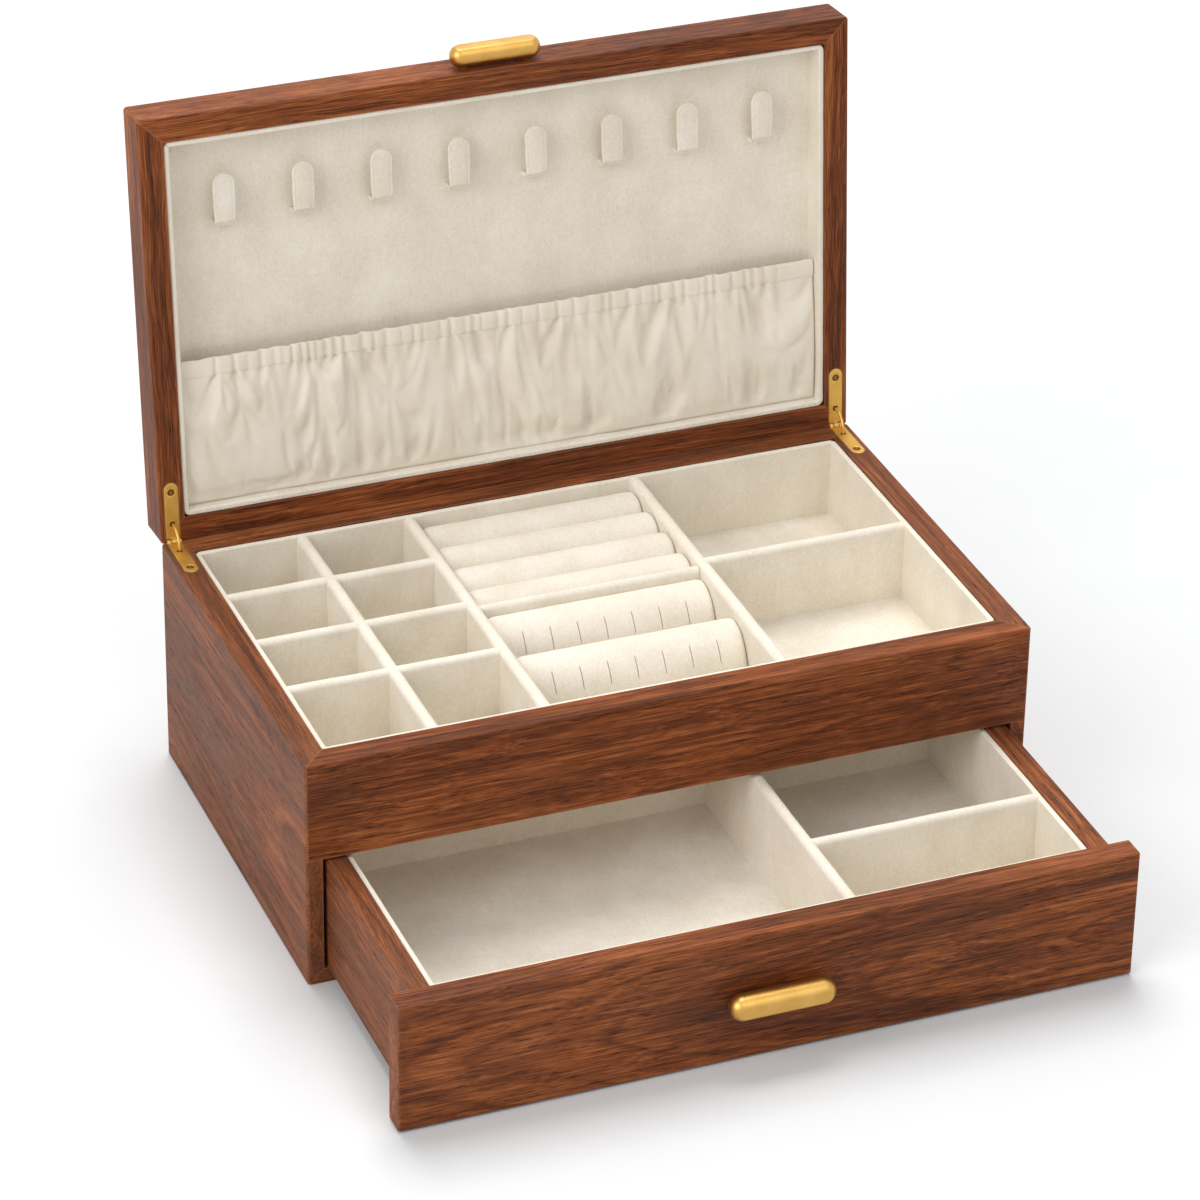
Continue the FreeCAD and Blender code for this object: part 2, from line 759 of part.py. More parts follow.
# ---------------------------------------------------------------- lid
def build_lid_frame():
    """The four mitred rails and the top panel of the lid."""
    form = eased_block(lid_z, lid_top)
    seat_x = lid_inner_x + lid_panel_seat
    seat_y = -lid_inner_front + lid_panel_seat
    panel = box(-seat_x, seat_x, -seat_y, seat_y, lid_top - lid_panel, lid_top)
    side = mitre_side(lid_z, lid_top, lid_wall).common(form).cut(panel)
    side = cut_all(side, upper_hinge_cuts())
    save("lid_right_rail", opened(side))
    save("lid_left_rail", opened(mirrored(side)))
    back = mitre_end(1, lid_z, lid_top, lid_wall).common(form).cut(panel)
    save("lid_back_rail", opened(cut_all(back, both_sides(upper_hinge_cuts()))))
    save("lid_top_panel", opened(panel))
    pull = Pull(
        "lid_pull",
        lid_pull_length,
        lid_pull_radius,
        lid_post_spacing,
        front_y,
        lid_wall,
        (lid_z + lid_top) / 2 - lid_pull_drop,
    )
    pull.write(opened)
    front = mitre_end(-1, lid_z, lid_top, lid_wall).common(form).cut(panel)
    save("lid_front_rail", opened(cut_all(front, pull.holes())))


def hanging_board(x0, x1, y0, y1):
    """A lined wall of the lid, rounded along the edge that faces down when the lid is shut."""
    board = soft_board(x0, x1, y0, y1, -lid_ceiling, -lid_lining_foot)
    return board.mirror(Vector(0, 0, 0), along_z)


def build_lid_lining():
    """The padded panel and the four lined walls inside the lid."""
    ceiling = lid_top - lid_panel
    y0 = lid_inner_front
    y1 = lid_inner_back
    pad = box(-lid_inner_x, lid_inner_x, y0, y1, lid_ceiling, ceiling)
    save("lid_liner_panel", opened(pad))
    right = hanging_board(lid_lined_x, lid_inner_x, y0, y1)
    save("lid_liner_right", opened(right))
    save("lid_liner_left", opened(mirrored(right)))
    save("lid_liner_front", opened(hanging_board(-lid_lined_x, lid_lined_x, y0, y0 + liner)))
    save("lid_liner_back", opened(hanging_board(-lid_lined_x, lid_lined_x, lid_lined_back, y1)))


def necklace_hook(x):
    """One velvet-covered hook: a tongue that stands off the panel, turned in at its foot."""
    front = front_y + hook_reach - hook_length / 2
    back = front + hook_length
    low = lid_ceiling - hook_gap - hook_thickness
    half = hook_width / 2
    tongue = box(x - half, x + half, front + half, back, low, low + hook_thickness)
    tip = Part.makeCylinder(half, hook_thickness, Vector(x, front + half, low))
    foot = box(x - half, x + half, back - hook_thickness, back, low, lid_ceiling)
    return tongue.fuse(tip).fuse(foot).removeSplitter()


def pocket_outline(inset):
    """The pocket's side view, from its hem to its foot, shrunk by inset on the cloth's side.

    The shrunk outline runs past the hem and past the panel, so that it cuts the pocket open there.
    """
    hem_y = lid_lined_back - pocket_height
    foot_y = lid_lined_back - pocket_side_gap - inset
    panel_z = lid_ceiling + inset
    mouth_z = lid_ceiling - pocket_mouth + inset
    belly_z = lid_ceiling - pocket_belly + inset
    return [
        (hem_y - inset, panel_z),
        (hem_y - inset, mouth_z),
        (hem_y + pocket_hem, mouth_z),
        (hem_y + pocket_belly_start, belly_z),
        (hem_y + pocket_belly_end, belly_z),
        (foot_y, lid_ceiling - pocket_foot + inset),
        (foot_y, panel_z),
    ]


def pocket():
    """A cloth pocket, open at its hem, closed by a seam at its foot and by its ends."""
    x = lid_lined_x - pocket_side_gap
    outer = [(-x, y, z) for y, z in pocket_outline(0)]
    inner = [(-x + pocket_cloth, y, z) for y, z in pocket_outline(pocket_cloth)]
    bag = prism(outer, (2 * x, 0, 0))
    return bag.cut(prism(inner, (2 * (x - pocket_cloth), 0, 0)))


def build_lid_fittings():
    """The eight necklace hooks and the gathered pocket."""
    places = [(number - (hooks - 1) / 2) * hook_pitch for number in range(hooks)]
    save("necklace_hooks", *[opened(necklace_hook(x)) for x in places])
    save("lid_pocket", opened(pocket()))


def main():
    """Build and write every node."""
    os.makedirs("parts", exist_ok=True)
    build_case()
    build_tray_lining()
    build_tray_dividers()
    build_ring_section()
    build_drawer_box()
    build_drawer_lining()
    build_lid_frame()
    build_lid_lining()
    build_lid_fittings()
    build_hinges()


main()
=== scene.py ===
"""Dresses the ring box: walnut boards, velvet linings, satin gold pulls and brass hinges.

Sizes are in millimetres until a mesh is made, and in metres after that. A piece of the lid
is drawn in the shut lid's coordinates and turned open when its mesh is made. The case and
the drawer are drawn where they stand.
"""

import json
import logging
import math
from collections.abc import Sequence
from dataclasses import dataclass, field
from enum import Enum

import bmesh
import bpy
import numpy as np
from mathutils import Matrix, Vector, noise


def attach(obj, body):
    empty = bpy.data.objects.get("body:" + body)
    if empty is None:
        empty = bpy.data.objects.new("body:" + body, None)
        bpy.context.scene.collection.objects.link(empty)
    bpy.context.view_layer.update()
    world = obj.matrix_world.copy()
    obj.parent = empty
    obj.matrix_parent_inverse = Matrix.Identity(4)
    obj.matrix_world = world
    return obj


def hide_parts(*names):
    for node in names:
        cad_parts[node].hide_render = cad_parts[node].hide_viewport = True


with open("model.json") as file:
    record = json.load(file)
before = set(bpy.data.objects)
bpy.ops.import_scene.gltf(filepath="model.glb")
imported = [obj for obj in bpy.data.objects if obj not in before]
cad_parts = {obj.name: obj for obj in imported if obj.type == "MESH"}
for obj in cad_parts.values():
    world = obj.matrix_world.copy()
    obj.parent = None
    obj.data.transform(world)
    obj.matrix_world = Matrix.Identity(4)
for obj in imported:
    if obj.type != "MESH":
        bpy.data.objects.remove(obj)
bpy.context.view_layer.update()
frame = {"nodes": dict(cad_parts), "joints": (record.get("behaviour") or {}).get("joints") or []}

MM = 0.001
WHITE = (1.0, 1.0, 1.0, 1.0)
TOUCH = 1e-4  # two points that are closer than this are one, in millimetres
Colour = tuple[float, float, float]
Point = tuple[float, float, float]
Pair = tuple[float, float]
Stop = tuple[float, float | Colour]  # a place on a ramp, and the grey level or colour there
log = logging.getLogger("ring_box")
noise.seed_set(11)  # noise vectors start from the clock otherwise, and each run would differ


def srgb(red: int, green: int, blue: int) -> Colour:
    """Turns a colour as a paint chart gives it, 0 to 255, into linear light.

    Args:
        red: the red part.
        green: the green part.
        blue: the blue part.

    Returns:
        The colour in linear light.
    """
    def linear(value: int) -> float:
        """Gives one channel in linear light."""
        share = value / 255
        return share / 12.92 if share <= 0.04045 else ((share + 0.055) / 1.055) ** 2.4

    return linear(red), linear(green), linear(blue)


# ---------------------------------------------------------------- places and spans
class Place(Enum):
    """The coordinates that a piece is drawn in."""

    STANDING = "as the case and the drawer stand"
    LID = "as the lid lies when it is shut"

    def to_rest(self) -> Matrix:
        """Gives the turn, in metres, from these coordinates to where a piece stands at rest.

        Returns:
            The turn. It changes nothing for what is drawn as it stands.
        """
        if self is Place.STANDING:
            return Matrix.Identity(4)
        hinge = next(joint for joint in frame["joints"] if joint["name"] == "lid_hinge")
        pivot = Matrix.Translation(Vector(hinge["pos_m"]))
        turn = Matrix.Rotation(math.radians(min(hinge["range_deg"])), 4, "X")
        return pivot @ turn @ pivot.inverted()


@dataclass(frozen=True)
class Span:
    """A box between its lowest and its highest corner, in millimetres."""

    low: Vector
    high: Vector

    @classmethod
    def of(cls, node: str, place: Place = Place.STANDING) -> "Span":
        """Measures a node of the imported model.

        Args:
            node: the node's name.
            place: the coordinates to measure it in.

        Returns:
            Its box in those coordinates.
        """
        back = place.to_rest().inverted()
        points = np.array([back @ v.co for v in frame["nodes"][node].data.vertices]) / MM
        return cls(Vector(points.min(0)), Vector(points.max(0)))

    def middle(self) -> Vector:
        """Gives the box's centre."""
        return (self.low + self.high) / 2

    def size(self) -> Vector:
        """Gives the box's three lengths."""
        return self.high - self.low


# ---------------------------------------------------------------- shader graphs
class Sock:
    """A value that comes out of a shader node, for use in sums, products and powers."""

    def __init__(self, graph: "Graph", socket: bpy.types.NodeSocket) -> None:
        """Keeps the graph that the socket belongs to, and the socket."""
        self.graph = graph
        self.socket = socket

    def __add__(self, other: "Sock | float") -> "Sock":
        """Adds a value."""
        return self.graph.math("ADD", self, other)

    __radd__ = __add__

    def __mul__(self, other: "Sock | float") -> "Sock":
        """Multiplies by a value."""
        return self.graph.math("MULTIPLY", self, other)

    __rmul__ = __mul__

    def __sub__(self, other: "Sock | float") -> "Sock":
        """Takes a value away."""
        return self.graph.math("SUBTRACT", self, other)

    def __rsub__(self, other: float) -> "Sock":
        """Is taken away from a value."""
        return self.graph.math("SUBTRACT", other, self)

    def __pow__(self, other: "Sock | float") -> "Sock":
        """Raises to a power."""
        return self.graph.math("POWER", self, other)


@dataclass(frozen=True)
class Layer:
    """One layer of blotches in a finish."""

    size: Point  # their lengths along the three axes, in millimetres
    detail: float = 2.0  # how many finer layers lie on it
    rough: float = 0.5  # how strong those are
    share: float = 1.0  # how much it counts where layers are added up


class Graph:
    """The node tree of one material, or of the room."""

    def __init__(self, owner: bpy.types.Material | bpy.types.World) -> None:
        """Empties the tree of its owner.

        Args:
            owner: the material or the world.
        """
        owner.use_nodes = True
        self.owner = owner
        self.tree = owner.node_tree
        self.tree.nodes.clear()

    @classmethod
    def named(cls, name: str) -> "Graph":
        """Starts a new material."""
        return cls(bpy.data.materials.new(name))

    def add(
        self,
        kind: str,
        settings: dict[str, object] | None = None,
        sockets: dict[str | int, object] | None = None,
        output: str | int = 0,
    ) -> Sock:
        """Adds one node.

        Args:
            kind: the node's type, without "ShaderNode".
            settings: the node's own settings; "stops" gives a ramp's places and colours.
            sockets: values or links of its input sockets.
            output: the output that is wanted.

        Returns:
            That output.
        """
        node = self.tree.nodes.new("ShaderNode" + kind)
        for name, value in (settings or {}).items():
            if name == "stops":
                self._set_stops(node.color_ramp, value)
            else:
                setattr(node, name, value)
        for name, value in (sockets or {}).items():
            if isinstance(value, Sock):
                self.tree.links.new(value.socket, node.inputs[name])
            else:
                node.inputs[name].default_value = value
        return Sock(self, node.outputs[output] if len(node.outputs) else None)

    @staticmethod
    def _set_stops(ramp: bpy.types.ColorRamp, stops: Sequence[Stop]) -> None:
        """Gives a ramp its stops.

        Args:
            ramp: the ramp.
            stops: a place from 0 to 1 and a grey level or a colour for each stop.
        """
        while len(ramp.elements) < len(stops):
            ramp.elements.new(1.0)
        for element, (place, value) in zip(ramp.elements, stops):
            element.position = place
            colour = value if isinstance(value, tuple) else (value, value, value)
            element.color = (*colour, 1.0)

    def math(self, operation: str, first: "Sock | float", second: "Sock | float") -> Sock:
        """Adds a Math node on two values."""
        return self.add("Math", {"operation": operation}, {0: first, 1: second})

    def vector(self, operation: str, first: object, second: object) -> Sock:
        """Adds a Vector Math node on two vectors."""
        return self.add("VectorMath", {"operation": operation}, {0: first, 1: second})

    def measure(self, operation: str, sockets: dict[int, object]) -> Sock:
        """Adds a Vector Math node that gives one value."""
        return self.add("VectorMath", {"operation": operation}, sockets, output="Value")

    def place(self) -> Sock:
        """Gives a point's own place in the object, in metres."""
        return self.add("TexCoord", output="Object")

    def split(self, vector: Sock) -> list[Sock]:
        """Gives a vector's three parts."""
        node = self.add("SeparateXYZ", None, {0: vector}).socket.node
        return [Sock(self, output) for output in node.outputs]

    def join(self, x: "Sock | float", y: "Sock | float", z: "Sock | float") -> Sock:
        """Makes a vector of three values."""
        return self.add("CombineXYZ", None, {0: x, 1: y, 2: z})

    def seen(self) -> Sock:
        """Gives 1 to what the eye sees, straight or by way of metal or glass, and 0 to other light.

        Returns:
            The value.
        """
        path = self.add("LightPath").socket.node.outputs
        names = ("Is Camera Ray", "Is Glossy Ray", "Is Transmission Ray")
        camera, glossy, through = (Sock(self, path[name]) for name in names)
        return self.math("MAXIMUM", camera, self.math("MAXIMUM", glossy, through))

    def soft_normal(self, radius: float) -> Sock:
        """Gives a normal that turns round each edge, over a radius in millimetres."""
        return self.add("Bevel", {"samples": 4}, {"Radius": radius * MM})

    def edge(self, soft_normal: Sock) -> Sock:
        """Gives a value that grows from 0 towards each edge, from the normal that turns there."""
        return 1 - self.measure("DOT_PRODUCT", {0: soft_normal, 1: self.add("NewGeometry", output="Normal")})

    def blend(self, factor: "Sock | float", first: "Sock | Colour", second: "Sock | Colour") -> Sock:
        """Mixes two colours.

        Args:
            factor: share of the second colour.
            first: the first colour.
            second: the second colour.

        Returns:
            The mixed colour.
        """
        first, second = (part if isinstance(part, Sock) else (*part, 1.0) for part in (first, second))
        settings = {"data_type": "RGBA", "blend_type": "MIX", "clamp_factor": True}
        return self.add("Mix", settings, {"Factor": factor, 6: first, 7: second}, output=2)

    def speckle(self, place: Sock, layer: Layer) -> Sock:
        """Adds a layer of blotches.

        Args:
            place: where a point is, in metres.
            layer: the blotches.

        Returns:
            A value around 0.5.
        """
        stretched = self.vector("MULTIPLY", place, tuple(1 / (MM * length) for length in layer.size))
        sockets = {"Vector": stretched, "Scale": 1.0, "Detail": layer.detail, "Roughness": layer.rough}
        return self.add("TexNoise", {"noise_dimensions": "3D"}, sockets)

    def ramp(self, value: Sock, *stops: Stop) -> Sock:
        """Maps a value to grey levels or colours by its stops."""
        return self.add("ValToRGB", {"stops": stops}, {0: value})

    def bump(self, height: Sock, depth: float, strength: float = 1.0, normal: Sock | None = None) -> Sock:
        """Turns a height into a normal.

        Args:
            height: the height, about 0 to 1.
            depth: the depth that a height of 1 stands for, in millimetres.
            strength: how much of it shows.
            normal: a normal to add it to.

        Returns:
            The new normal.
        """
        sockets = {"Height": height, "Distance": depth * MM, "Strength": strength}
        if normal is not None:
            sockets["Normal"] = normal
        return self.add("Bump", None, sockets)

    def surface(self, **sockets: object) -> bpy.types.Material:
        """Ends the graph in one Principled shader.

        Args:
            sockets: its sockets, with an underscore for each space.

        Returns:
            The material.
        """
        named = {name.replace("_", " "): value for name, value in sockets.items()}
        return self.output(self.add("BsdfPrincipled", None, named))

    def output(self, shader: Sock) -> bpy.types.Material | bpy.types.World:
        """Links a shader to the output, and gives what the tree belongs to.

        Args:
            shader: the shader.

        Returns:
            The material or the world.
        """
        kind = "OutputWorld" if isinstance(self.owner, bpy.types.World) else "OutputMaterial"
        self.add(kind, None, {"Surface": shader})
        return self.owner


# ---------------------------------------------------------------- finishes
class Grain(Enum):
    """The way that a board's grain runs, as the order of its along, across and through axes."""

    ALONG_X = (0, 1, 2)
    ALONG_Y = (1, 0, 2)


@dataclass(frozen=True)
class Walnut:
    """Oiled walnut under a thin satin lacquer, cut for one board."""

    name: str
    grain: Grain
    seed: float
    middle_point: Point  # the board's middle, in millimetres
    heart: Pair = (55.0, 20.0)  # the trunk's heart, across and through from the middle
    lean: float = 0.04  # how far the heart moves across for each length along
    turned: bool = False  # True for the lid's boards, which are drawn open
    tone: float = 0.5  # 0 for a dark board, 1 for a light one
    red: float = 0.5  # 0 for a board with the most painted grey sheen, 1 for one without it
    browns: tuple[Stop, ...] = (  # the colour at each lightness
        (0.24, srgb(50, 23, 11)),
        (0.38, srgb(92, 44, 21)),
        (0.52, srgb(134, 70, 33)),
        (0.68, srgb(174, 103, 57)),
        (0.88, srgb(198, 138, 94)),
    )
    # the colour of the painted grey sheen
    grey: Colour = srgb(150, 108, 82)
    balance: float = 0.475  # lightness of a board of middle tone
    tone_reach: float = 0.16  # how much lighter the lightest board is than the darkest
    sheen_grey_reach: float = 0.42  # how much painted grey sheen the greyest board has
    seed_step: float = 0.731  # distance between two boards' cuts, in metres
    sway: Layer = Layer((150, 40, 40), share=13 * MM)  # the shares of these two are distances, in metres
    ripple: Layer = Layer((60, 16, 16), share=3.5 * MM)
    rings: Layer = Layer((8, 400, 1), rough=0.55, share=0.5)
    veins: Layer = Layer((9, 700, 1), 1.0, 0.4)
    streaks: Layer = Layer((230, 1.5, 2.0), 3.0, 0.6, 0.5)
    fibres: Layer = Layer((20, 0.42, 0.5), rough=0.6, share=0.68)
    pores: Layer = Layer((7, 0.38, 0.45), 1.0)
    clouds: Layer = Layer((60, 20, 20), share=0.2)
    edge_highlight_width: float = 1.3  # how far from an edge the painted highlight reaches
    edge_highlight: float = 0.26  # how pale the painted highlight makes the edge itself
    rough: float = 0.42
    shine: float = 0.12

    def make(self) -> bpy.types.Material:
        """Builds the material.

        Returns:
            The material.
        """
        graph = Graph.named(self.name)
        along, across, through = self.axes(graph)
        offset = self.seed * self.seed_step
        spot = graph.join(along + offset, across + offset * 2, through - offset)
        moved = sum(graph.speckle(spot, layer) * layer.share for layer in (self.sway, self.ripple))
        side = across - along * self.lean - (self.heart[0] * MM)
        depth = through - (self.heart[1] * MM)
        radius = (side * side + depth * depth) ** 0.5 + moved
        round_spot = graph.join(radius + offset, along, 0.0)
        rings, veins = (graph.speckle(round_spot, layer) for layer in (self.rings, self.veins))
        spot = graph.vector("ADD", spot, graph.join(0.0, moved, moved * -0.6))
        layers = (self.streaks, self.fibres, self.pores, self.clouds)
        streaks, fibres, pores, clouds = (graph.speckle(spot, layer) for layer in layers)

        figure = {self.rings: rings, self.streaks: streaks, self.fibres: fibres, self.clouds: clouds}
        lightness = sum(value * layer.share for layer, value in figure.items())
        level = self.balance - sum(layer.share for layer in figure) / 2 + (self.tone - 0.5) * self.tone_reach
        colour = graph.ramp(lightness + level, *self.browns)
        # painted grey sheen in cloudy patches, strongest on the least red boards
        painted_sheen_share = graph.ramp(clouds, (0.35, 1.0), (0.7, 0.35)) * (self.sheen_grey_reach * (1 - self.red))
        colour = graph.blend(painted_sheen_share, colour, self.grey)
        deep, pale = self.browns[0][1], self.browns[-1][1]
        vein = graph.ramp(veins, (0.455, 0.0), (0.5, 1.0), (0.515, 0.0))
        vein *= graph.ramp(clouds, (0.35, 0.2), (0.6, 0.75))
        colour = graph.blend(vein * (0.5 + fibres * 0.4), colour, deep)
        dashes = graph.ramp(pores, (0.31, 1.0), (0.41, 0.0)) * graph.ramp(streaks, (0.4, 1.0), (0.64, 0.3))
        colour = graph.blend(dashes * 0.7, colour, tuple(0.5 * part for part in deep))
        # the eased edges are painted paler: a painted highlight
        edge = graph.edge(graph.soft_normal(self.edge_highlight_width))
        colour = graph.blend(graph.ramp(edge, (0.015, 0.0), (0.16, self.edge_highlight)), colour, pale)
        open_pores = graph.bump(1 - dashes, 0.05, 0.5)
        return graph.surface(
            Base_Color=colour,
            Roughness=self.rough + fibres * 0.14 + dashes * 0.15,
            Normal=graph.bump(fibres, 0.04, 0.35, open_pores),
            Specular_IOR_Level=self.shine,
        )

    def axes(self, graph: Graph) -> list[Sock]:
        """Gives a point's place in the board: along, across and through, in metres from its middle.

        Args:
            graph: the material's graph.

        Returns:
            The three distances.
        """
        spot = graph.vector("SUBTRACT", graph.place(), tuple(MM * part for part in self.middle_point))
        if self.turned:
            turn = tuple(Place.LID.to_rest().inverted().to_euler())
            settings = {"rotation_type": "EULER_XYZ"}
            spot = graph.add("VectorRotate", settings, {"Vector": spot, "Rotation": turn})
        axes = graph.split(spot)
        return [axes[axis] for axis in self.grain.value]


@dataclass(frozen=True)
class Pile:
    """The brushed pile that the velvet and the pocket's cloth share."""

    fuzz: float = 0.25  # how much of it catches light from the side
    fuzz_rough: float = 0.4
    fuzz_tint: Colour = (1.0, 0.98, 0.94)
    shine: float = 0.12
    rough: float = 0.86
    rough_reach: float = 0.1  # how much rougher the ends of the pile are

    def surface(self, graph: Graph, colour: Sock, pile: Sock, normal: Sock) -> bpy.types.Material:
        """Ends a cloth's graph.

        Args:
            graph: the material's graph.
            colour: its colour.
            pile: the height of its pile.
            normal: the normal under the pile.

        Returns:
            The material.
        """
        return graph.surface(
            Base_Color=colour,
            Roughness=self.rough + pile * self.rough_reach,
            Normal=graph.bump(pile, 0.1, 0.6, normal),
            Sheen_Weight=self.fuzz,
            Sheen_Roughness=self.fuzz_rough,
            Sheen_Tint=(*self.fuzz_tint, 1.0),
            Specular_IOR_Level=self.shine,
        )


@dataclass(frozen=True)
class Velvet:
    """Short-pile cream velvet, brushed one way."""

    name: str
    nap: Point = (1.6, 1.6, 11.0)  # length of the brushed streaks along the three axes
    lit: Colour = srgb(242, 235, 223)
    shade: Colour = srgb(224, 214, 196)
    blotches: Layer = Layer((20, 20, 26), share=0.34)
    pile: Layer = Layer((0.7, 0.7, 0.9), rough=0.7, share=0.42)
    tufts: Layer = Layer((1.9, 1.9, 2.4), 1.0, 0.6, 0.14)

    def make(self) -> bpy.types.Material:
        """Builds the material.

        Returns:
            The material.
        """
        graph = Graph.named(self.name)
        layers = (self.blotches, Layer(self.nap, rough=0.6, share=0.1), self.pile, self.tufts)
        values = [graph.speckle(graph.place(), layer) for layer in layers]
        tone = sum(value * layer.share for value, layer in zip(values, layers))
        colour = graph.ramp(tone, (0.36, self.shade), (0.62, self.lit))
        _, _, pile, tufts = values
        return Pile().surface(graph, colour, pile, graph.bump(tufts, 0.12, 0.4))


@dataclass(frozen=True)
class PocketCloth:
    """Softer brushed cotton, with its threads just showing."""

    name: str
    lit: Colour = srgb(245, 238, 226)
    shade: Colour = srgb(230, 220, 202)
    thread: float = 0.42  # distance between threads
    blotches: Layer = Layer((20, 20, 20), 3.0, 0.55, 0.6)
    pile: Layer = Layer((0.5, 0.5, 0.5), rough=0.7, share=0.34)
    wander: Layer = Layer((6, 6, 6), 1.0, share=0.6 * MM)  # how far a thread strays, in metres
    weave_share: float = 0.14

    def make(self) -> bpy.types.Material:
        """Builds the material.

        Returns:
            The material.
        """
        graph = Graph.named(self.name)
        spot = graph.place()
        layers = (self.blotches, self.pile, self.wander)
        blotches, pile, wander = (graph.speckle(spot, layer) for layer in layers)
        x, _, z = graph.split(spot)
        turns = math.tau / (self.thread * MM)
        weft, warp = (
            graph.add("Math", {"operation": "SINE"}, {0: (axis + wander * self.wander.share) * turns})
            for axis in (x, z)
        )
        weave = weft * warp * 0.5 + 0.5
        tone = blotches * self.blotches.share + pile * self.pile.share + weave * self.weave_share
        colour = graph.ramp(tone, (0.40, self.shade), (0.72, self.lit))
        return Pile(fuzz=0.2).surface(graph, colour, pile, graph.bump(weave, 0.05, 0.5))


@dataclass(frozen=True)
class Metal:
    """A gold-coloured metal with a brushed or a plain satin face."""

    name: str
    colour: Colour
    dull: Colour
    rough: float
    brushed: Point = (9.0, 0.3, 0.3)  # length of the brush marks along the three axes
    marks: float = 0.05  # how much the brush marks change the roughness
    edge: float = 0.0  # width of the softened edges
    metallic: float = 1.0
    rim: bool = False  # True for a painted highlight on each edge's bevel and a painted shadow line outside it
    # bevel and line are the colours of the painted highlight on a bevel and of the painted shadow outside it
    bevel: Colour = srgb(244, 214, 140)
    line: Colour = srgb(74, 44, 16)

    def make(self) -> bpy.types.Material:
        """Builds the material.

        Returns:
            The material.
        """
        graph = Graph.named(self.name)
        brush = graph.speckle(graph.place(), Layer(self.brushed, rough=0.6))
        cloud = graph.speckle(graph.place(), Layer((7, 7, 7)))
        colour = graph.blend(graph.ramp(cloud, (0.35, 0.55), (0.7, 0.0)), self.colour, self.dull)
        rough = self.rough - self.marks + brush * (2 * self.marks) + cloud * 0.08
        soft = graph.soft_normal(self.edge) if self.edge else None
        if self.rim:
            edge = graph.edge(soft)
            # painted highlight on each bevel, then a painted shadow line outside it
            bevel_highlight = graph.ramp(edge, (0.008, 0.0), (0.04, 0.8), (0.13, 0.8), (0.2, 0.0))
            colour = graph.blend(bevel_highlight, colour, self.bevel)
            colour = graph.blend(graph.ramp(edge, (0.17, 0.0), (0.25, 0.9)), colour, self.line)
        normal = graph.bump(brush, 0.01, 0.4, soft)
        return graph.surface(Base_Color=colour, Metallic=self.metallic, Roughness=rough, Normal=normal)


@dataclass(frozen=True)
class RawBoard:
    """Plain sanded plywood, for the boards that are hidden inside."""

    name: str
    light: Colour = srgb(196, 160, 118)
    dark: Colour = srgb(168, 128, 88)
    figure: Layer = Layer((160, 9, 9), 3.0, 0.6, 0.7)
    fibres: Layer = Layer((14, 0.6, 0.6), rough=0.6, share=0.3)

    def make(self) -> bpy.types.Material:
        """Builds the material.

        Returns:
            The material.
        """
        graph = Graph.named(self.name)
        figure, fibres = (graph.speckle(graph.place(), layer) for layer in (self.figure, self.fibres))
        tone = figure * self.figure.share + fibres * self.fibres.share
        colour = graph.ramp(tone, (0.38, self.dark), (0.62, self.light))
        normal = graph.bump(fibres, 0.05, 0.4)
        return graph.surface(Base_Color=colour, Roughness=0.66 + fibres * 0.1, Normal=normal)


@dataclass(frozen=True)
class StudioFloor:
    """The white floor: it shows white to the eye and still takes the shadow."""

    name: str
    paint: Colour = (0.785, 0.798, 0.81)
    near: float = 0.65  # distance from the box up to which the paint is seen, in metres
    far: float = 1.5  # distance from which the floor is plain white

    def make(self) -> bpy.types.Material:
        """Builds the material.

        Returns:
            The material.
        """
        graph = Graph.named(self.name)
        fine = graph.speckle(graph.place(), Layer((30, 30, 30)))
        tint = graph.ramp(fine, (0.3, self.paint), (0.7, tuple(part + 0.006 for part in self.paint)))
        paint = graph.add("BsdfDiffuse", None, {"Color": tint})
        white = graph.add("Emission", None, {"Color": WHITE, "Strength": 1.0})
        away = graph.measure("LENGTH", {0: graph.place()})
        share = (away - self.near) * (1 / (self.far - self.near))
        faded = graph.ramp(share, (0.0, 0.0), (1.0, 1.0)) * graph.seen()
        return graph.output(graph.add("MixShader", None, {0: faded, 1: paint, 2: white}))


# ---------------------------------------------------------------- meshes
def spread(start: float, end: float, step: float) -> list[float]:
    """Divides a length into even parts.

    Args:
        start: where it starts.
        end: where it ends.
        step: the largest part.

    Returns:
        The places of the ends of all parts.
    """
    count = max(1, math.ceil(abs(end - start) / step))
    return [start + (end - start) * k / count for k in range(count + 1)]


def unevenness(points: np.ndarray, size: float, depth: float, seed: float = 0.0) -> np.ndarray:
    """Moves points a little, as hand-covered boards have it.

    Args:
        points: the points, in millimetres, in an array that ends in three.
        size: width of the bumps.
        depth: how far a point may move.
        seed: another value gives other bumps.

    Returns:
        The moved points.
    """
    flat = points.reshape(-1, 3)
    shift = np.array([noise.noise_vector(Vector(p) / size + Vector((seed, seed, seed))) for p in flat])
    return (flat + shift * depth).reshape(points.shape)


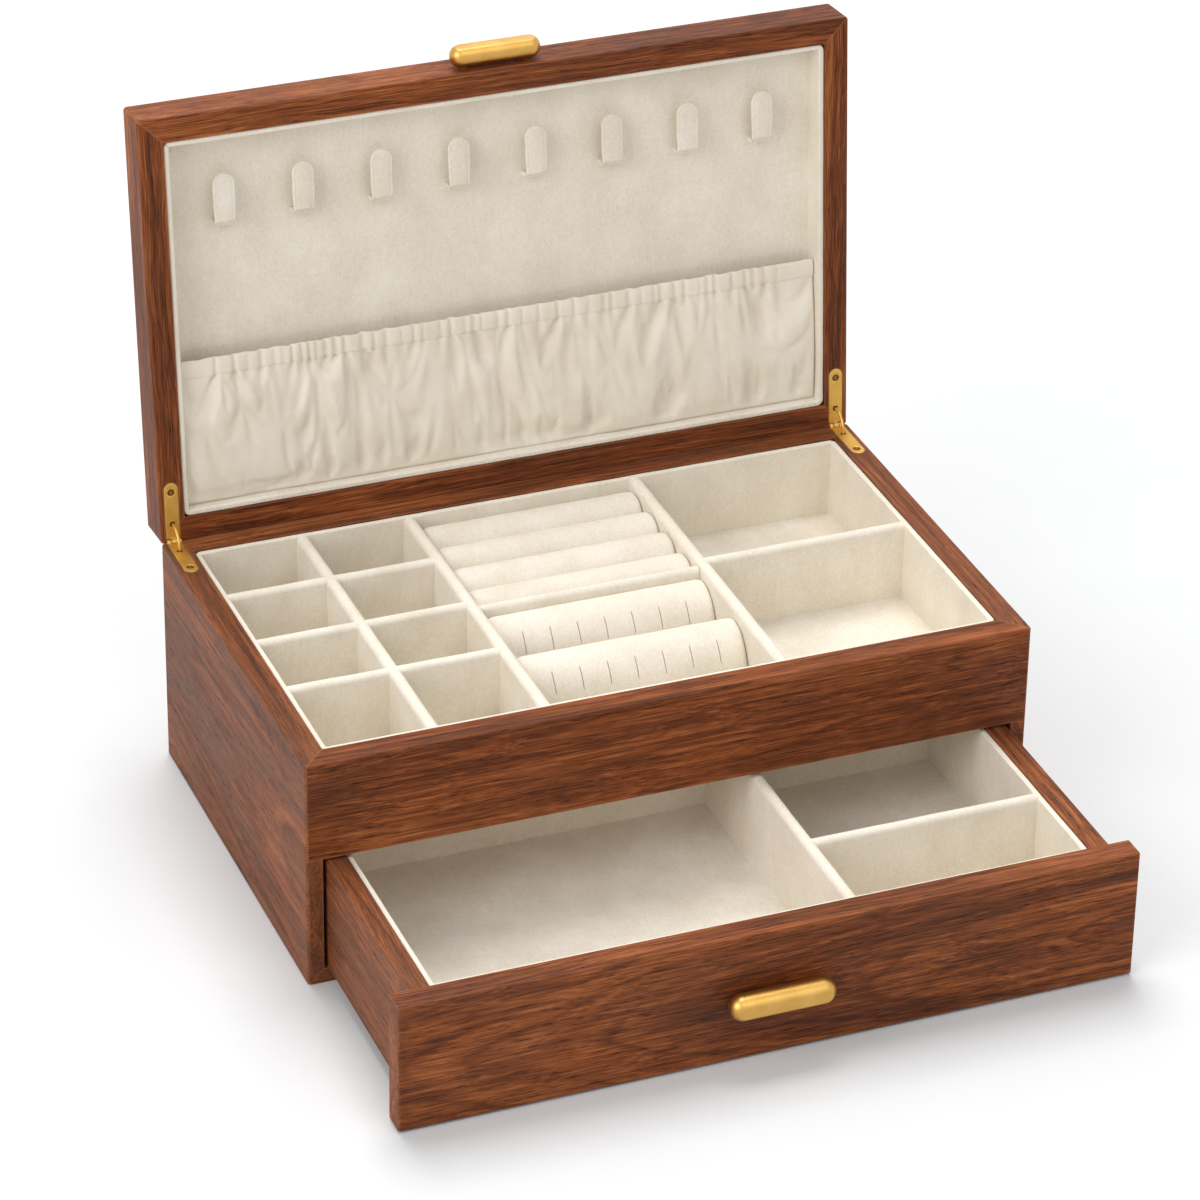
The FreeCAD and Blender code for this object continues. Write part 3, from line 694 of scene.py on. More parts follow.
@dataclass
class Shell:
    """The closed skin of one piece, made of loops that follow each other."""

    points: list[Point] = field(default_factory=list)
    faces: list[tuple[int, ...]] = field(default_factory=list)

    def loft(self, loops: np.ndarray) -> "Shell":
        """Adds a closed skin through loops of equally many points, with a flat face at both ends.

        Args:
            loops: an array of loops by points by three, in millimetres.

        Returns:
            The shell itself.
        """
        count, length, _ = loops.shape
        first = len(self.points)
        self.points.extend(map(tuple, loops.reshape(-1, 3)))
        for k in range(count - 1):
            here, there = first + k * length, first + (k + 1) * length
            for n in range(length):
                after = (n + 1) % length
                self.faces.append((here + n, here + after, there + after, there + n))
        self.faces.append(tuple(range(first + length - 1, first - 1, -1)))
        last = first + (count - 1) * length
        self.faces.append(tuple(range(last, last + length)))
        return self

    def lathe(self, profile: Sequence[Pair], centre: Vector, axis: Vector, sides: int) -> "Shell":
        """Adds a turned form.

        Args:
            profile: distances along the axis with the radius there.
            centre: where the axis starts.
            axis: the axis' direction.
            sides: points around.

        Returns:
            The shell itself.
        """
        axis = axis.normalized()
        side = axis.orthogonal().normalized()
        other = axis.cross(side)
        angles = [math.tau * k / sides for k in range(sides)]
        loops = [
            [centre + axis * at + (side * math.cos(a) + other * math.sin(a)) * radius for a in angles]
            for at, radius in profile
        ]
        return self.loft(np.array([[tuple(p) for p in loop] for loop in loops]))

    def build(
        self,
        name: str,
        finish: bpy.types.Material,
        body: str,
        nodes: Sequence[str],
        slot: str,
        place: Place = Place.STANDING,
        crease: float = 50.0,
    ) -> bpy.types.Object:
        """Makes the object, and lets it move with a body and stand for the model's nodes.

        Args:
            name: the piece's name.
            finish: its material.
            body: the body that it moves with.
            nodes: the nodes that it stands for.
            slot: the record's material slot; not used.
            place: the coordinates that it is drawn in.
            crease: the angle above which an edge stays sharp, in degrees.

        Returns:
            The object.
        """
        mesh = bpy.data.meshes.new(name)
        mesh.from_pydata([Vector(p) * MM for p in self.points], [], self.faces)
        mesh.transform(place.to_rest())
        tidy = bmesh.new()
        tidy.from_mesh(mesh)
        bmesh.ops.recalc_face_normals(tidy, faces=tidy.faces)
        tidy.to_mesh(mesh)
        tidy.free()
        mesh.shade_smooth()
        mesh.set_sharp_from_angle(angle=math.radians(crease))
        mesh.materials.append(finish)
        piece = link(name, mesh)
        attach(piece, body)
        if nodes:
            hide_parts(*nodes)
        log.info("%s: %d points on %s", name, len(mesh.vertices), body)
        return piece


def dress(node: str, finish: bpy.types.Material) -> None:
    """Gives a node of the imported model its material.

    Args:
        node: the node's name.
        finish: the material.
    """
    piece = frame["nodes"][node]
    piece.data.materials.clear()
    piece.data.materials.append(finish)
    for polygon in piece.data.polygons:
        polygon.material_index = 0
    log.info("%s: %s", node, finish.name)


def squared_circle(steps: int, across: float, up: float) -> list[Pair]:
    """Draws a circle of radius 1 that is pressed out towards a square.

    Args:
        steps: how many points it has.
        across: 1 for a circle, less for blunter sides.
        up: the same for the top and the foot.

    Returns:
        The points' places across and up.
    """
    turns = [math.tau * k / steps for k in range(steps)]
    return [
        (math.copysign(abs(cos) ** across, cos), math.copysign(abs(sin) ** up, sin))
        for cos, sin in ((math.cos(turn), math.sin(turn)) for turn in turns)
    ]


def crown_profile(thickness: float, height: float, crown: float, steps: int = 7) -> list[Pair]:
    """Draws the section of a covered board: a flat foot, two sides and a rounded top.

    Args:
        thickness: from side to side.
        height: from foot to top.
        crown: radius of the rounding.
        steps: parts of each rounding.

    Returns:
        Places across and up, around the section.
    """
    half = thickness / 2
    crown = min(crown, half)
    left = [(-half, up) for up in spread(0, height - crown, 5.0)]
    arc = [
        (-half + crown - crown * math.cos(turn), height - crown + crown * math.sin(turn))
        for turn in (math.pi / 2 * k / steps for k in range(1, steps + 1))
    ]
    right = [(-across, up) for across, up in reversed(left + arc)]
    if crown > half - 0.01:
        right = right[1:]
    return left + arc + right


@dataclass
class SoftBoard:
    """A thin board covered with velvet, with a rounded top."""

    span: Span
    along: int  # 0 where it runs along x, 1 where it runs along y
    crown: float
    down: bool = False  # True where the rounded edge looks down, as in the shut lid
    outer: int = 1  # the outer side: 1 where it has the higher coordinate, else -1
    bend: float = 0.0  # radius of the corner that it turns at each end, to meet its neighbour
    reach: Pair = (0.0, 0.0)  # how far each end runs on into its neighbour
    depth: float = 0.14  # unevenness
    step: float = 4.0
    corner_steps: int = 5

    @classmethod
    def free(cls, node: str, reach: Pair) -> "SoftBoard":
        """Measures a board that stands free, whose top is one round from side to side.

        Args:
            node: its node.
            reach: how far each end runs on into its neighbour.

        Returns:
            The board.
        """
        span = Span.of(node)
        size = span.size()
        return cls(span, 0 if size.x > size.y else 1, min(size.x, size.y) / 2, reach=reach)

    def stations(self) -> list[Point]:
        """Gives each loop's last straight place, how far it has turned there, and which end it is at.

        Returns:
            For each loop its last straight place, how far it has turned, and -1 or 1 for its end.
        """
        start = self.span.low[self.along] - self.reach[0]
        end = self.span.high[self.along] + self.reach[1]
        turns: list[float] = []
        if self.bend:
            half = self.span.size()[1 - self.along] / 2
            start, end = start - half + self.bend, end + half - self.bend
            turns = [math.pi / 4 * k / self.corner_steps for k in range(1, self.corner_steps + 1)]
        straight = [(at, 0.0, 1.0) for at in spread(start, end, self.step)]
        first = [(start, turn, -1.0) for turn in reversed(turns)]
        return first + straight + [(end, turn, 1.0) for turn in turns]

    def loops(self) -> np.ndarray:
        """Gives the board's loops, from one end to the other.

        Returns:
            An array of loops by points by three, in millimetres.
        """
        across = 1 - self.along
        size = self.span.size()
        profile = crown_profile(size[across], size[2], self.crown)
        centre = self.span.middle()[across]
        loops = []
        for at, turn, end in self.stations():
            loop = []
            for side, up in profile:
                radius = self.bend + self.outer * side
                point = [0.0, 0.0, 0.0]
                point[self.along] = at + end * radius * math.sin(turn)
                point[across] = centre + self.outer * (radius * math.cos(turn) - self.bend)
                point[2] = self.span.high[2] - up if self.down else self.span.low[2] + up
                loop.append(point)
            loops.append(loop)
        return unevenness(np.array(loops), 16.0, self.depth, self.span.low[0])

    def build(
        self,
        node: str,
        finish: bpy.types.Material,
        body: str,
        slot: str = "lining_velvet",
        place: Place = Place.STANDING,
        name: str = "",
    ) -> None:
        """Builds the board in place of its node.

        Args:
            node: the node.
            finish: its material.
            body: the body that it moves with.
            slot: the record's material slot.
            place: the coordinates that it is drawn in.
            name: the board's name, where it isn't the node's.
        """
        Shell().loft(self.loops()).build((name or node) + "_velvet", finish, body, [node], slot, place)


@dataclass
class SoftFloor:
    """A padded floor whose velvet rises a little against each wall."""

    span: Span
    walls: Sequence[tuple[float, float, float, float]]  # x and y, from and to, of what stands on it
    down: bool = False
    swell: float = 0.3  # how far the velvet rises against a wall
    soft: float = 1.1  # width of that rise
    step: float = 5.0
    beside: Sequence[float] = (0.0, 0.5, 1.1, 2.0, 3.2)  # the grid's distances from a foot

    def lines(self, axis: int) -> list[float]:
        """Gives the grid's places along one axis, closer together beside each foot.

        Args:
            axis: 0 for x, 1 for y.

        Returns:
            The places, from low to high.
        """
        low, high = self.span.low[axis], self.span.high[axis]
        marks = {round(v, 2) for v in spread(low, high, self.step)}
        for wall in self.walls:
            for edge, side in ((wall[axis * 2], -1), (wall[axis * 2 + 1], 1)):
                marks |= {round(edge + side * away, 2) for away in self.beside}
        return sorted(v for v in marks if low <= v <= high)

    def loops(self) -> np.ndarray:
        """Gives the floor's loops, from one end to the other.

        Returns:
            An array of loops by points by three, in millimetres.
        """
        xs, ys = self.lines(0), self.lines(1)
        low, high = self.span.low, self.span.high
        face, back = (low[2], high[2]) if self.down else (high[2], low[2])
        sign = 1 if self.down else -1
        loops = []
        for x in xs:
            loop = []
            for y in ys:
                away = min(
                    math.hypot(max(wall[0] - x, 0, x - wall[1]), max(wall[2] - y, 0, y - wall[3]))
                    for wall in self.walls
                )
                loop.append((x, y, face - sign * self.swell * math.exp(-((away / self.soft) ** 2))))
            loops.append(loop + [(x, ys[-1], back), (x, ys[0], back)])
        points = np.array(loops)
        points[:, : len(ys)] = unevenness(points[:, : len(ys)], 30.0, 0.18)
        return points


@dataclass
class Lining:
    """The velvet inside a box: four walls, mitred where they meet, and a padded floor."""

    prefix: str  # how the names of its walls start
    pad: str  # the floor's node
    floor: str  # the floor's name
    body: str
    place: Place = Place.STANDING
    crown: float = 0.75
    corner: float = 1.9  # radius of the upright corners
    front_rise: float = 0.0  # how far the front wall's velvet stands above the other walls'
    slot: str = "lining_velvet"

    def build_walls(self, finish: bpy.types.Material) -> None:
        """Builds the walls.

        Args:
            finish: their material.
        """
        for name, along, outer in (("front", 0, -1), ("back", 0, 1), ("left", 1, -1), ("right", 1, 1)):
            node = f"{self.prefix}_{name}"
            span = Span.of(node, self.place)
            if along == 1:
                thickness = span.size().x
                span.low.y += thickness
                span.high.y -= thickness
            if name == "front":
                span.high.z += self.front_rise
            wall = SoftBoard(span, along, self.crown, self.place is Place.LID, outer, self.corner)
            wall.build(node, finish, self.body, self.slot, self.place)

    def build_floor(self, finish: bpy.types.Material, standing: Sequence[str] = ()) -> None:
        """Builds the padded floor.

        Args:
            finish: its material.
            standing: the nodes that stand on it, besides the walls.
        """
        span = Span.of(self.pad, self.place)
        low, high = span.low, span.high
        inner = Span.of(self.prefix + "_front", self.place).high
        back = Span.of(self.prefix + "_back", self.place).low.y
        feet = [
            (low.x, -inner.x, low.y, high.y),
            (inner.x, high.x, low.y, high.y),
            (low.x, high.x, low.y, inner.y),
            (low.x, high.x, back, high.y),
        ]
        feet += [(foot.low.x, foot.high.x, foot.low.y, foot.high.y) for foot in map(Span.of, standing)]
        loops = SoftFloor(span, feet, self.place is Place.LID).loops()
        piece = Shell().loft(loops).build(self.floor, finish, self.body, [self.pad], self.slot, self.place)


# ---------------------------------------------------------------- the studio
def link(name: str, data: bpy.types.ID) -> bpy.types.Object:
    """Makes an object of a mesh, a lamp or a camera and puts it in the scene.

    Args:
        name: the object's name.
        data: what it is made of.

    Returns:
        The object.
    """
    thing = bpy.data.objects.new(name, data)
    bpy.context.scene.collection.objects.link(thing)
    return thing


@dataclass(frozen=True)
class Lamp:
    """A square lamp that looks at the box."""

    name: str
    spot: Point  # where it hangs, in metres
    size: float  # its side, in metres
    power: float  # in watts
    tint: Colour = (1.0, 1.0, 1.0)
    aim: Point = (0.0, -0.02, 0.1)  # what it looks at, in metres

    def hang(self) -> None:
        """Adds the lamp."""
        data = bpy.data.lights.new(self.name, "AREA")
        data.shape = "SQUARE"
        data.size = self.size
        data.energy = self.power
        data.color = self.tint
        lamp = link(self.name, data)
        lamp.location = self.spot
        toward = Vector(self.aim) - Vector(self.spot)
        lamp.rotation_euler = toward.to_track_quat("-Z", "Y").to_euler()


@dataclass
class Studio:
    """Camera, lamps, floor and the room's plain light."""

    yaw: float = -21.93957  # the camera's angles, in degrees
    pitch: float = 30.26765
    roll: float = 1.0
    away: float = 2088.65  # its distance from what it looks at
    target: Point = (-28.2963, -80.0228, 147.3330)
    lens: float = 155.01389
    sensor: float = 36.0
    reach: float = 50.0  # how far it sees, in metres
    floor_half: float = 6.0  # half the floor's side, in metres
    lamps: Sequence[Lamp] = (
        Lamp("key", (0.1, 0.72, 2.4), 1.3, 38.5, (1.0, 0.99, 0.975)),
        Lamp("side", (-2.1, -0.9, 1.5), 1.8, 28.0, (1.0, 0.995, 0.985)),
        Lamp("front", (0.4, -1.9, 2.3), 1.6, 10.5),
        Lamp("back", (0.25, 1.9, 2.3), 1.2, 11.0),
    )
    room_light: float = 0.47

    def build(self) -> None:
        """Sets up everything that isn't part of the box."""
        self.place_camera()
        self.place_floor()
        for lamp in self.lamps:
            lamp.hang()
        self.light_room()
        bpy.context.scene.view_settings.view_transform = "Standard"

    def place_camera(self) -> None:
        """Adds the camera."""
        yaw, pitch, roll = (math.radians(angle) for angle in (self.yaw, self.pitch, self.roll))
        back = Vector((math.sin(yaw) * math.cos(pitch), -math.cos(yaw) * math.cos(pitch), math.sin(pitch)))
        right = (-back).cross(Vector((0, 0, 1))).normalized()
        up = right.cross(-back)
        turned_right = right * math.cos(roll) + up * math.sin(roll)
        turned_up = up * math.cos(roll) - right * math.sin(roll)
        data = bpy.data.cameras.new("view")
        data.lens = self.lens
        data.sensor_width = self.sensor
        data.clip_end = self.reach
        camera = link("view", data)
        turn = Matrix((turned_right, turned_up, back)).transposed().to_4x4()
        spot = (Vector(self.target) + back * self.away) * MM
        camera.matrix_world = Matrix.Translation(spot) @ turn
        bpy.context.scene.camera = camera

    def place_floor(self) -> None:
        """Adds the floor."""
        mesh = bpy.data.meshes.new("floor")
        half = self.floor_half
        corners = [(-half, -half, 0), (half, -half, 0), (half, half, 0), (-half, half, 0)]
        mesh.from_pydata(corners, [], [(0, 1, 2, 3)])
        mesh.materials.append(StudioFloor("floor_paint").make())
        link("floor", mesh)

    def light_room(self) -> None:
        """Gives the room a plain light, and white where the eye, metal or glass looks at it."""
        graph = Graph(bpy.data.worlds.new("room"))
        plain = graph.add("Background", None, {"Color": WHITE, "Strength": self.room_light})
        white = graph.add("Background", None, {"Color": WHITE, "Strength": 1.0})
        choice = graph.add("MixShader", None, {0: graph.seen(), 1: plain, 2: white})
        bpy.context.scene.world = graph.output(choice)


# ---------------------------------------------------------------- the finishes in use
@dataclass
class Finishes:
    """Every material that more than one piece wears."""

    lining: bpy.types.Material = field(init=False)
    sideways_lining_painted_light: bpy.types.Material = field(init=False)
    cushions: bpy.types.Material = field(init=False)
    cloth: bpy.types.Material = field(init=False)
    gold: bpy.types.Material = field(init=False)
    brass: bpy.types.Material = field(init=False)
    leaf: bpy.types.Material = field(init=False)
    screw: bpy.types.Material = field(init=False)
    board: bpy.types.Material = field(init=False)

    def __post_init__(self) -> None:
        """Builds the materials."""
        self.lining = Velvet("lining_velvet").make()
        # the floors' velvet is a lighter copy of the walls': painted light, so that the floors look brighter
        self.sideways_lining_painted_light = Velvet("floor_velvet", nap=(1.6, 11.0, 1.6), lit=srgb(246, 240, 230)).make()
        self.cushions = Velvet("ring_velvet", nap=(1.5, 8.0, 4.0)).make()
        self.cloth = PocketCloth("pocket_cloth").make()
        self.gold = Metal("satin_gold", srgb(214, 171, 94), srgb(194, 149, 76), 0.33).make()
        hinge = {"rough": 0.42, "brushed": (0.25, 6.0, 6.0), "metallic": 0.9}
        brass = Metal("hinge_brass", srgb(222, 178, 90), srgb(206, 160, 74), edge=0.22, **hinge)
        # the leaves' edges carry a painted highlight and a painted shadow line
        leaf = Metal("leaf_brass", srgb(218, 174, 88), srgb(196, 150, 68), edge=1.1, rim=True, **hinge)
        screw = Metal("screw_brass", srgb(178, 134, 66), srgb(140, 100, 46), 0.34, (0.4, 0.4, 0.4), edge=0.12)
        self.brass, self.leaf, self.screw = brass.make(), leaf.make(), screw.make()
        self.board = RawBoard("inner_board").make()


# ---------------------------------------------------------------- wooden boards
BoardCut = tuple[str, Grain, float, float]  # a board's node, grain, tone and redness, which is how little painted grey sheen it has


@dataclass
class Boards:
    """The walnut boards of one sub-assembly."""

    boards: Sequence[BoardCut]
    turned: bool = False
    hearts: dict[str, Point] = field(default_factory=dict)  # for boards cut near it: across, through, lean
    heart_away: float = 60.0  # how far across the heart of the other boards runs
    heart_reach: float = 34.0  # how far through it runs at most
    lean_reach: float = 0.05

    def dress(self) -> None:
        """Gives each board its own cut of walnut."""
        for number, (node, grain, tone, red) in enumerate(self.boards):
            seed = 1.0 + number + 0.37 * len(node)
            usual = (self.heart_away, self.heart_reach * math.sin(seed), self.lean_reach * math.cos(seed))
            across, through, lean = self.hearts.get(node, usual)
            middle = tuple(Span.of(node).middle())
            finish = Walnut(
                node + "_walnut", grain, seed, middle, (across, through), lean, self.turned, tone, red
            )
            dress(node, finish.make())


@dataclass
class Carcass:
    """The case: two sides, back, panel over the drawer, bottom board and deck."""

    boards: Sequence[BoardCut] = (
        # the left side's low tone and redness darken and grey it: painted shade and painted sheen, for a side
        # seen at a grazing angle
        ("case_left_side", Grain.ALONG_Y, 0.2, 0.25),
        ("case_right_side", Grain.ALONG_Y, 0.5, 0.4),
        ("case_back", Grain.ALONG_X, 0.5, 0.5),
        ("upper_front_panel", Grain.ALONG_X, 0.5, 0.8),
        ("bottom_board", Grain.ALONG_X, 0.3, 0.4),
    )

    def dress(self, finishes: Finishes) -> None:
        """Gives the boards their wood."""
        Boards(self.boards).dress()
        dress("tray_deck", finishes.board)


# ---------------------------------------------------------------- tray
@dataclass
class Tray:
    """The tray's lining, and the dividers of its cells, its ring section and its right-hand section."""

    dividers: Sequence[str] = (
        "small_cell_divider",
        "cell_row_divider_front",
        "cell_row_divider_middle",
        "cell_row_divider_rear",
        "ring_section_divider_left",
        "ring_section_divider_right",
        "right_section_divider",
    )
    into_wall: float = 1.3  # how far a top runs into the rounded top that it meets
    into_divider: float = 2.75
    body: str = "case"

    def build(self, finishes: Finishes) -> None:
        """Builds the lining, and the dividers, whose rounded tops run into one another.

        Args:
            finishes: the materials.
        """
        lining = Lining("tray_liner", "tray_floor_pad", "tray_floor_velvet", self.body)
        lining.build_walls(finishes.lining)
        lining.build_floor(finishes.sideways_lining_painted_light, self.dividers)
        for node in self.dividers:
            reach = (self.into_wall, self.into_wall)
            if node.startswith("cell_row"):
                reach = (self.into_wall, self.into_divider)
            elif node == "right_section_divider":
                reach = (self.into_divider, self.into_wall)
            SoftBoard.free(node, reach).build(node, finishes.lining, self.body)


# ---------------------------------------------------------------- ring section
@dataclass
class RingSection:
    """Four ring rolls, a low crossbar and two pads with slits."""

    rolls: int = 4
    roll_gap: float = 0.3
    roll_steps: int = 22  # parts of a roll's round
    flank_steps: int = 4  # parts of its upright sides
    end_round: float = 3.4
    end_share: float = 0.8  # how much an end is drawn in, as a share of a full round
    end_steps: Sequence[float] = (0.0, 0.15, 0.5, 1.0, 1.7, 2.5)  # the loops' distances from an end
    slits: int = 7
    slit_pitch: float = 12.3
    slit_length: float = 10.0
    slit_depth: float = 2.2
    slit_half_width: float = 0.2
    slit_down: float = 0.5  # share of a pad's round face above the middle of a slit
    slit_fade: float = 0.7  # the length over which a slit's end gets shallow
    slit_room: float = 1.6  # how far the usual loops stay from a slit
    slit_steps: Sequence[float] = (0.09, 0.2, 0.75, 1.5)  # the loops' distances from a slit's middle
    lip_height: float = 0.12  # the foam that swells beside a slit
    lip_away: float = 0.75
    lip_width: float = 0.6
    pad_back_round: float = 5.0
    pad_face_foot: float = 8.0
    pad_steps: tuple[int, int] = (8, 60)  # parts of its back round and of its round face
    handle: float = 0.5523  # a curve's handle that makes it a quarter of an ellipse
    press: float = 0.6  # how far the foam spreads at its right end
    body: str = "case"
    slot: str = "ring_velvet"

    def build(self, finishes: Finishes) -> None:
        """Builds the section.

        Args:
            finishes: the materials.
        """
        self.build_rolls(finishes)
        crossbar = SoftBoard.free("ring_section_crossbar", reach=(0.3, -0.2))
        crossbar.build("ring_section_crossbar", finishes.cushions, self.body, self.slot, name="ring_crossbar")
        for node in ("ring_pad_rear", "ring_pad_front"):
            self.build_pad(node, finishes)

    def end_inset(self, away: float) -> float:
        """Gives how far a form is drawn in at a distance from its end.

        Args:
            away: the distance from the end.

        Returns:
            How far it is drawn in.
        """
        if away >= self.end_round:
            return 0.0
        share = 1 - away / self.end_round
        return self.end_round * (1 - math.sqrt(1 - share * share)) * self.end_share

    def stations(self, low: float, high: float, step: float) -> list[float]:
        """Gives places along a form, closer together at its two ends.

        Args:
            low: the form's left end.
            high: its right end.
            step: the largest distance between two places.

        Returns:
            The places, from left to right.
        """
        near = [*self.end_steps, self.end_round]
        inside = spread(low + self.end_round, high - self.end_round, step)[1:-1]
        return [low + away for away in near] + inside + [high - away for away in reversed(near)]

    def build_rolls(self, finishes: Finishes) -> None:
        """Builds the rolls.

        Args:
            finishes: the materials.
        """
        span = Span.of("ring_rolls")
        span.high.x += self.press
        pitch = (span.size().y + self.roll_gap) / self.rolls
        radius = (pitch - self.roll_gap) / 2
        turns = [math.pi * k / self.roll_steps for k in range(self.roll_steps + 1)]
        shell = Shell()
        for number in range(self.rolls):
            middle = span.high.y - number * pitch - radius
            loops = []
            for x in self.stations(span.low.x, span.high.x, 5.0):
                inset = self.end_inset(min(x - span.low.x, span.high.x - x))
                half = radius - inset * 0.5
                low = span.high.z - inset - radius
                rise = (low - span.low.z) / self.flank_steps
                flank = [span.low.z + rise * k for k in range(self.flank_steps)]
                loop = [(x, middle + half, z) for z in flank]
                loop += [(x, middle + half * math.cos(turn), low + radius * math.sin(turn)) for turn in turns]
                loop += [(x, middle - half, z) for z in reversed(flank)]
                loops.append(loop)
            shell.loft(unevenness(np.array(loops), 14.0, 0.16, 3.0 * number))
        nodes = ["ring_rolls"]
        piece = shell.build("ring_rolls_velvet", finishes.cushions, self.body, nodes, self.slot, crease=62)

    def face(self, span: Span, share: float) -> Pair:
        """Gives a point of a pad's round face.

        Args:
            span: the pad's box.
            share: 0 at the crest, 1 where the face turns upright.

        Returns:
            Its y and z.
        """
        top_y = span.high.y - self.pad_back_round
        foot = span.low.z + self.pad_face_foot
        ys = (top_y, top_y - self.handle * (top_y - span.low.y), span.low.y, span.low.y)
        zs = (span.high.z, span.high.z, foot + self.handle * (span.high.z - foot), foot)
        left = 1 - share
        parts = (left**3, 3 * share * left**2, 3 * share * share * left, share**3)
        return sum(p * y for p, y in zip(parts, ys)), sum(p * z for p, z in zip(parts, zs))

    def pad_profile(self, span: Span) -> tuple[list[Pair], list[float]]:
        """Draws a pad's section from its back foot over the crest to its front foot.

        Args:
            span: the pad's box.

        Returns:
            The section's y and z, and for each point how deep a slit is there, from 0 to 1.
        """
        crest, back, corner = span.high.z, span.high.y, self.pad_back_round
        back_steps, face_steps = self.pad_steps
        profile = [(back, z) for z in spread(span.low.z, crest - corner, 6.0)]
        for k in range(1, back_steps + 1):
            turn = math.pi / 2 * k / back_steps
            profile.append((back - corner * (1 - math.cos(turn)), crest - corner * (1 - math.sin(turn))))
        face = [self.face(span, k / face_steps) for k in range(1, face_steps + 1)]
        foot = [(span.low.y, z) for z in spread(face[-1][1], span.low.z, 4.0)[1:]]
        middle, half = self.face(span, self.slit_down), self.slit_length / 2
        cuts = [min(1.0, max(0.0, half - math.dist(point, middle)) / self.slit_fade) for point in face]
        return profile + face + foot, [0.0] * len(profile) + cuts + [0.0] * len(foot)

    def build_pad(self, node: str, finishes: Finishes) -> None:
        """Builds one pad with its row of slits.

        Args:
            node: the pad's node.
            finishes: the materials.
        """
        span = Span.of(node)
        span.high.x += self.press
        profile, depths = self.pad_profile(span)
        centres = [(k - (self.slits - 1) / 2) * self.slit_pitch + span.middle().x for k in range(self.slits)]
        xs = self.stations(span.low.x, span.high.x, 4.0)
        clear = [x for x in xs if all(abs(x - c) > self.slit_room for c in centres)]
        beside = [0.0, *self.slit_steps, *(-away for away in self.slit_steps)]
        xs = sorted(clear + [c + away for c in centres for away in beside])
        loops = []
        for x in xs:
            inset = self.end_inset(min(x - span.low.x, span.high.x - x))
            near = min(abs(x - c) for c in centres)
            across = max(0.0, 1 - near / self.slit_half_width) ** 0.6
            lip = math.exp(-(((near - self.lip_away) / self.lip_width) ** 2)) * self.lip_height
            loop = []
            for k, (y, z) in enumerate(profile):
                ahead = profile[min(k + 1, len(profile) - 1)]
                behind = profile[max(k - 1, 0)]
                tangent = Vector((ahead[0] - behind[0], ahead[1] - behind[1])).normalized()
                inward = Vector((tangent.y, -tangent.x))
                if inward.dot(Vector((span.middle().y - y, span.middle().z - 6 - z))) < 0:
                    inward = -inward
                depth = (across * self.slit_depth - lip) * depths[k]
                depth += inset if z > span.low.z + 0.1 else 0.0
                loop.append((x, y + inward.x * depth, z + inward.y * depth))
            loops.append(loop)
        points = unevenness(np.array(loops), 22.0, 0.2, span.high.y)
        name = node + "_velvet"
        piece = Shell().loft(points).build(name, finishes.cushions, self.body, [node], self.slot, crease=75)


# ---------------------------------------------------------------- drawer
@dataclass
class Drawer:
    """The drawer's boards, lining and dividers."""

    boards: Sequence[BoardCut] = (
        ("drawer_front", Grain.ALONG_X, 0.45, 0.75),
        ("drawer_left_side", Grain.ALONG_Y, 0.3, 0.35),
        ("drawer_right_side", Grain.ALONG_Y, 0.5, 0.6),
        ("drawer_back", Grain.ALONG_X, 0.5, 0.5),
    )
    front_heart: Point = (20.0, -4.0, -0.11)  # where the front's heart runs, across and through, and its lean
    front_rise: float = 0.45
    into_wall: float = 1.3
    body: str = "drawer"

    def dress(self, finishes: Finishes) -> None:
        """Gives the boards their wood."""
        Boards(self.boards, hearts={"drawer_front": self.front_heart}).dress()
        dress("drawer_bottom", finishes.board)

    def build(self, finishes: Finishes) -> None:
        """Builds the lining and the dividers.

        Args:
            finishes: the materials.
        """
        lining = Lining("drawer_liner", "drawer_floor_pad", "drawer_floor_velvet", self.body)
        lining.front_rise = self.front_rise
        lining.build_walls(finishes.lining)
        into_divider = Span.of("drawer_long_divider").size().x / 2
        dividers = {
            "drawer_long_divider": (self.into_wall, self.into_wall),
            "drawer_cross_divider": (into_divider, self.into_wall),
        }
        for node, reach in dividers.items():
            SoftBoard.free(node, reach).build(node, finishes.lining, self.body)
        lining.build_floor(finishes.sideways_lining_painted_light, tuple(dividers))


# ---------------------------------------------------------------- lid
@dataclass
class Lid:
    """The lid's boards, its padded panel and its lined walls."""

    boards: Sequence[BoardCut] = (
        ("lid_front_rail", Grain.ALONG_X, 0.45, 0.85),
        ("lid_back_rail", Grain.ALONG_X, 0.35, 0.8),
        ("lid_left_rail", Grain.ALONG_Y, 0.4, 0.8),
        ("lid_right_rail", Grain.ALONG_Y, 0.4, 0.8),
        ("lid_top_panel", Grain.ALONG_X, 0.5, 0.6),
    )

    def dress(self) -> None:
        """Gives the boards their wood."""
        Boards(self.boards, turned=True).dress()

    def build(self, finishes: Finishes) -> None:
        """Builds the walls and the panel.

        Args:
            finishes: the materials.
        """
        lining = Lining("lid_liner", "lid_liner_panel", "lid_panel_velvet", "lid", Place.LID)
        lining.build_walls(finishes.lining)
        lining.build_floor(finishes.lining)


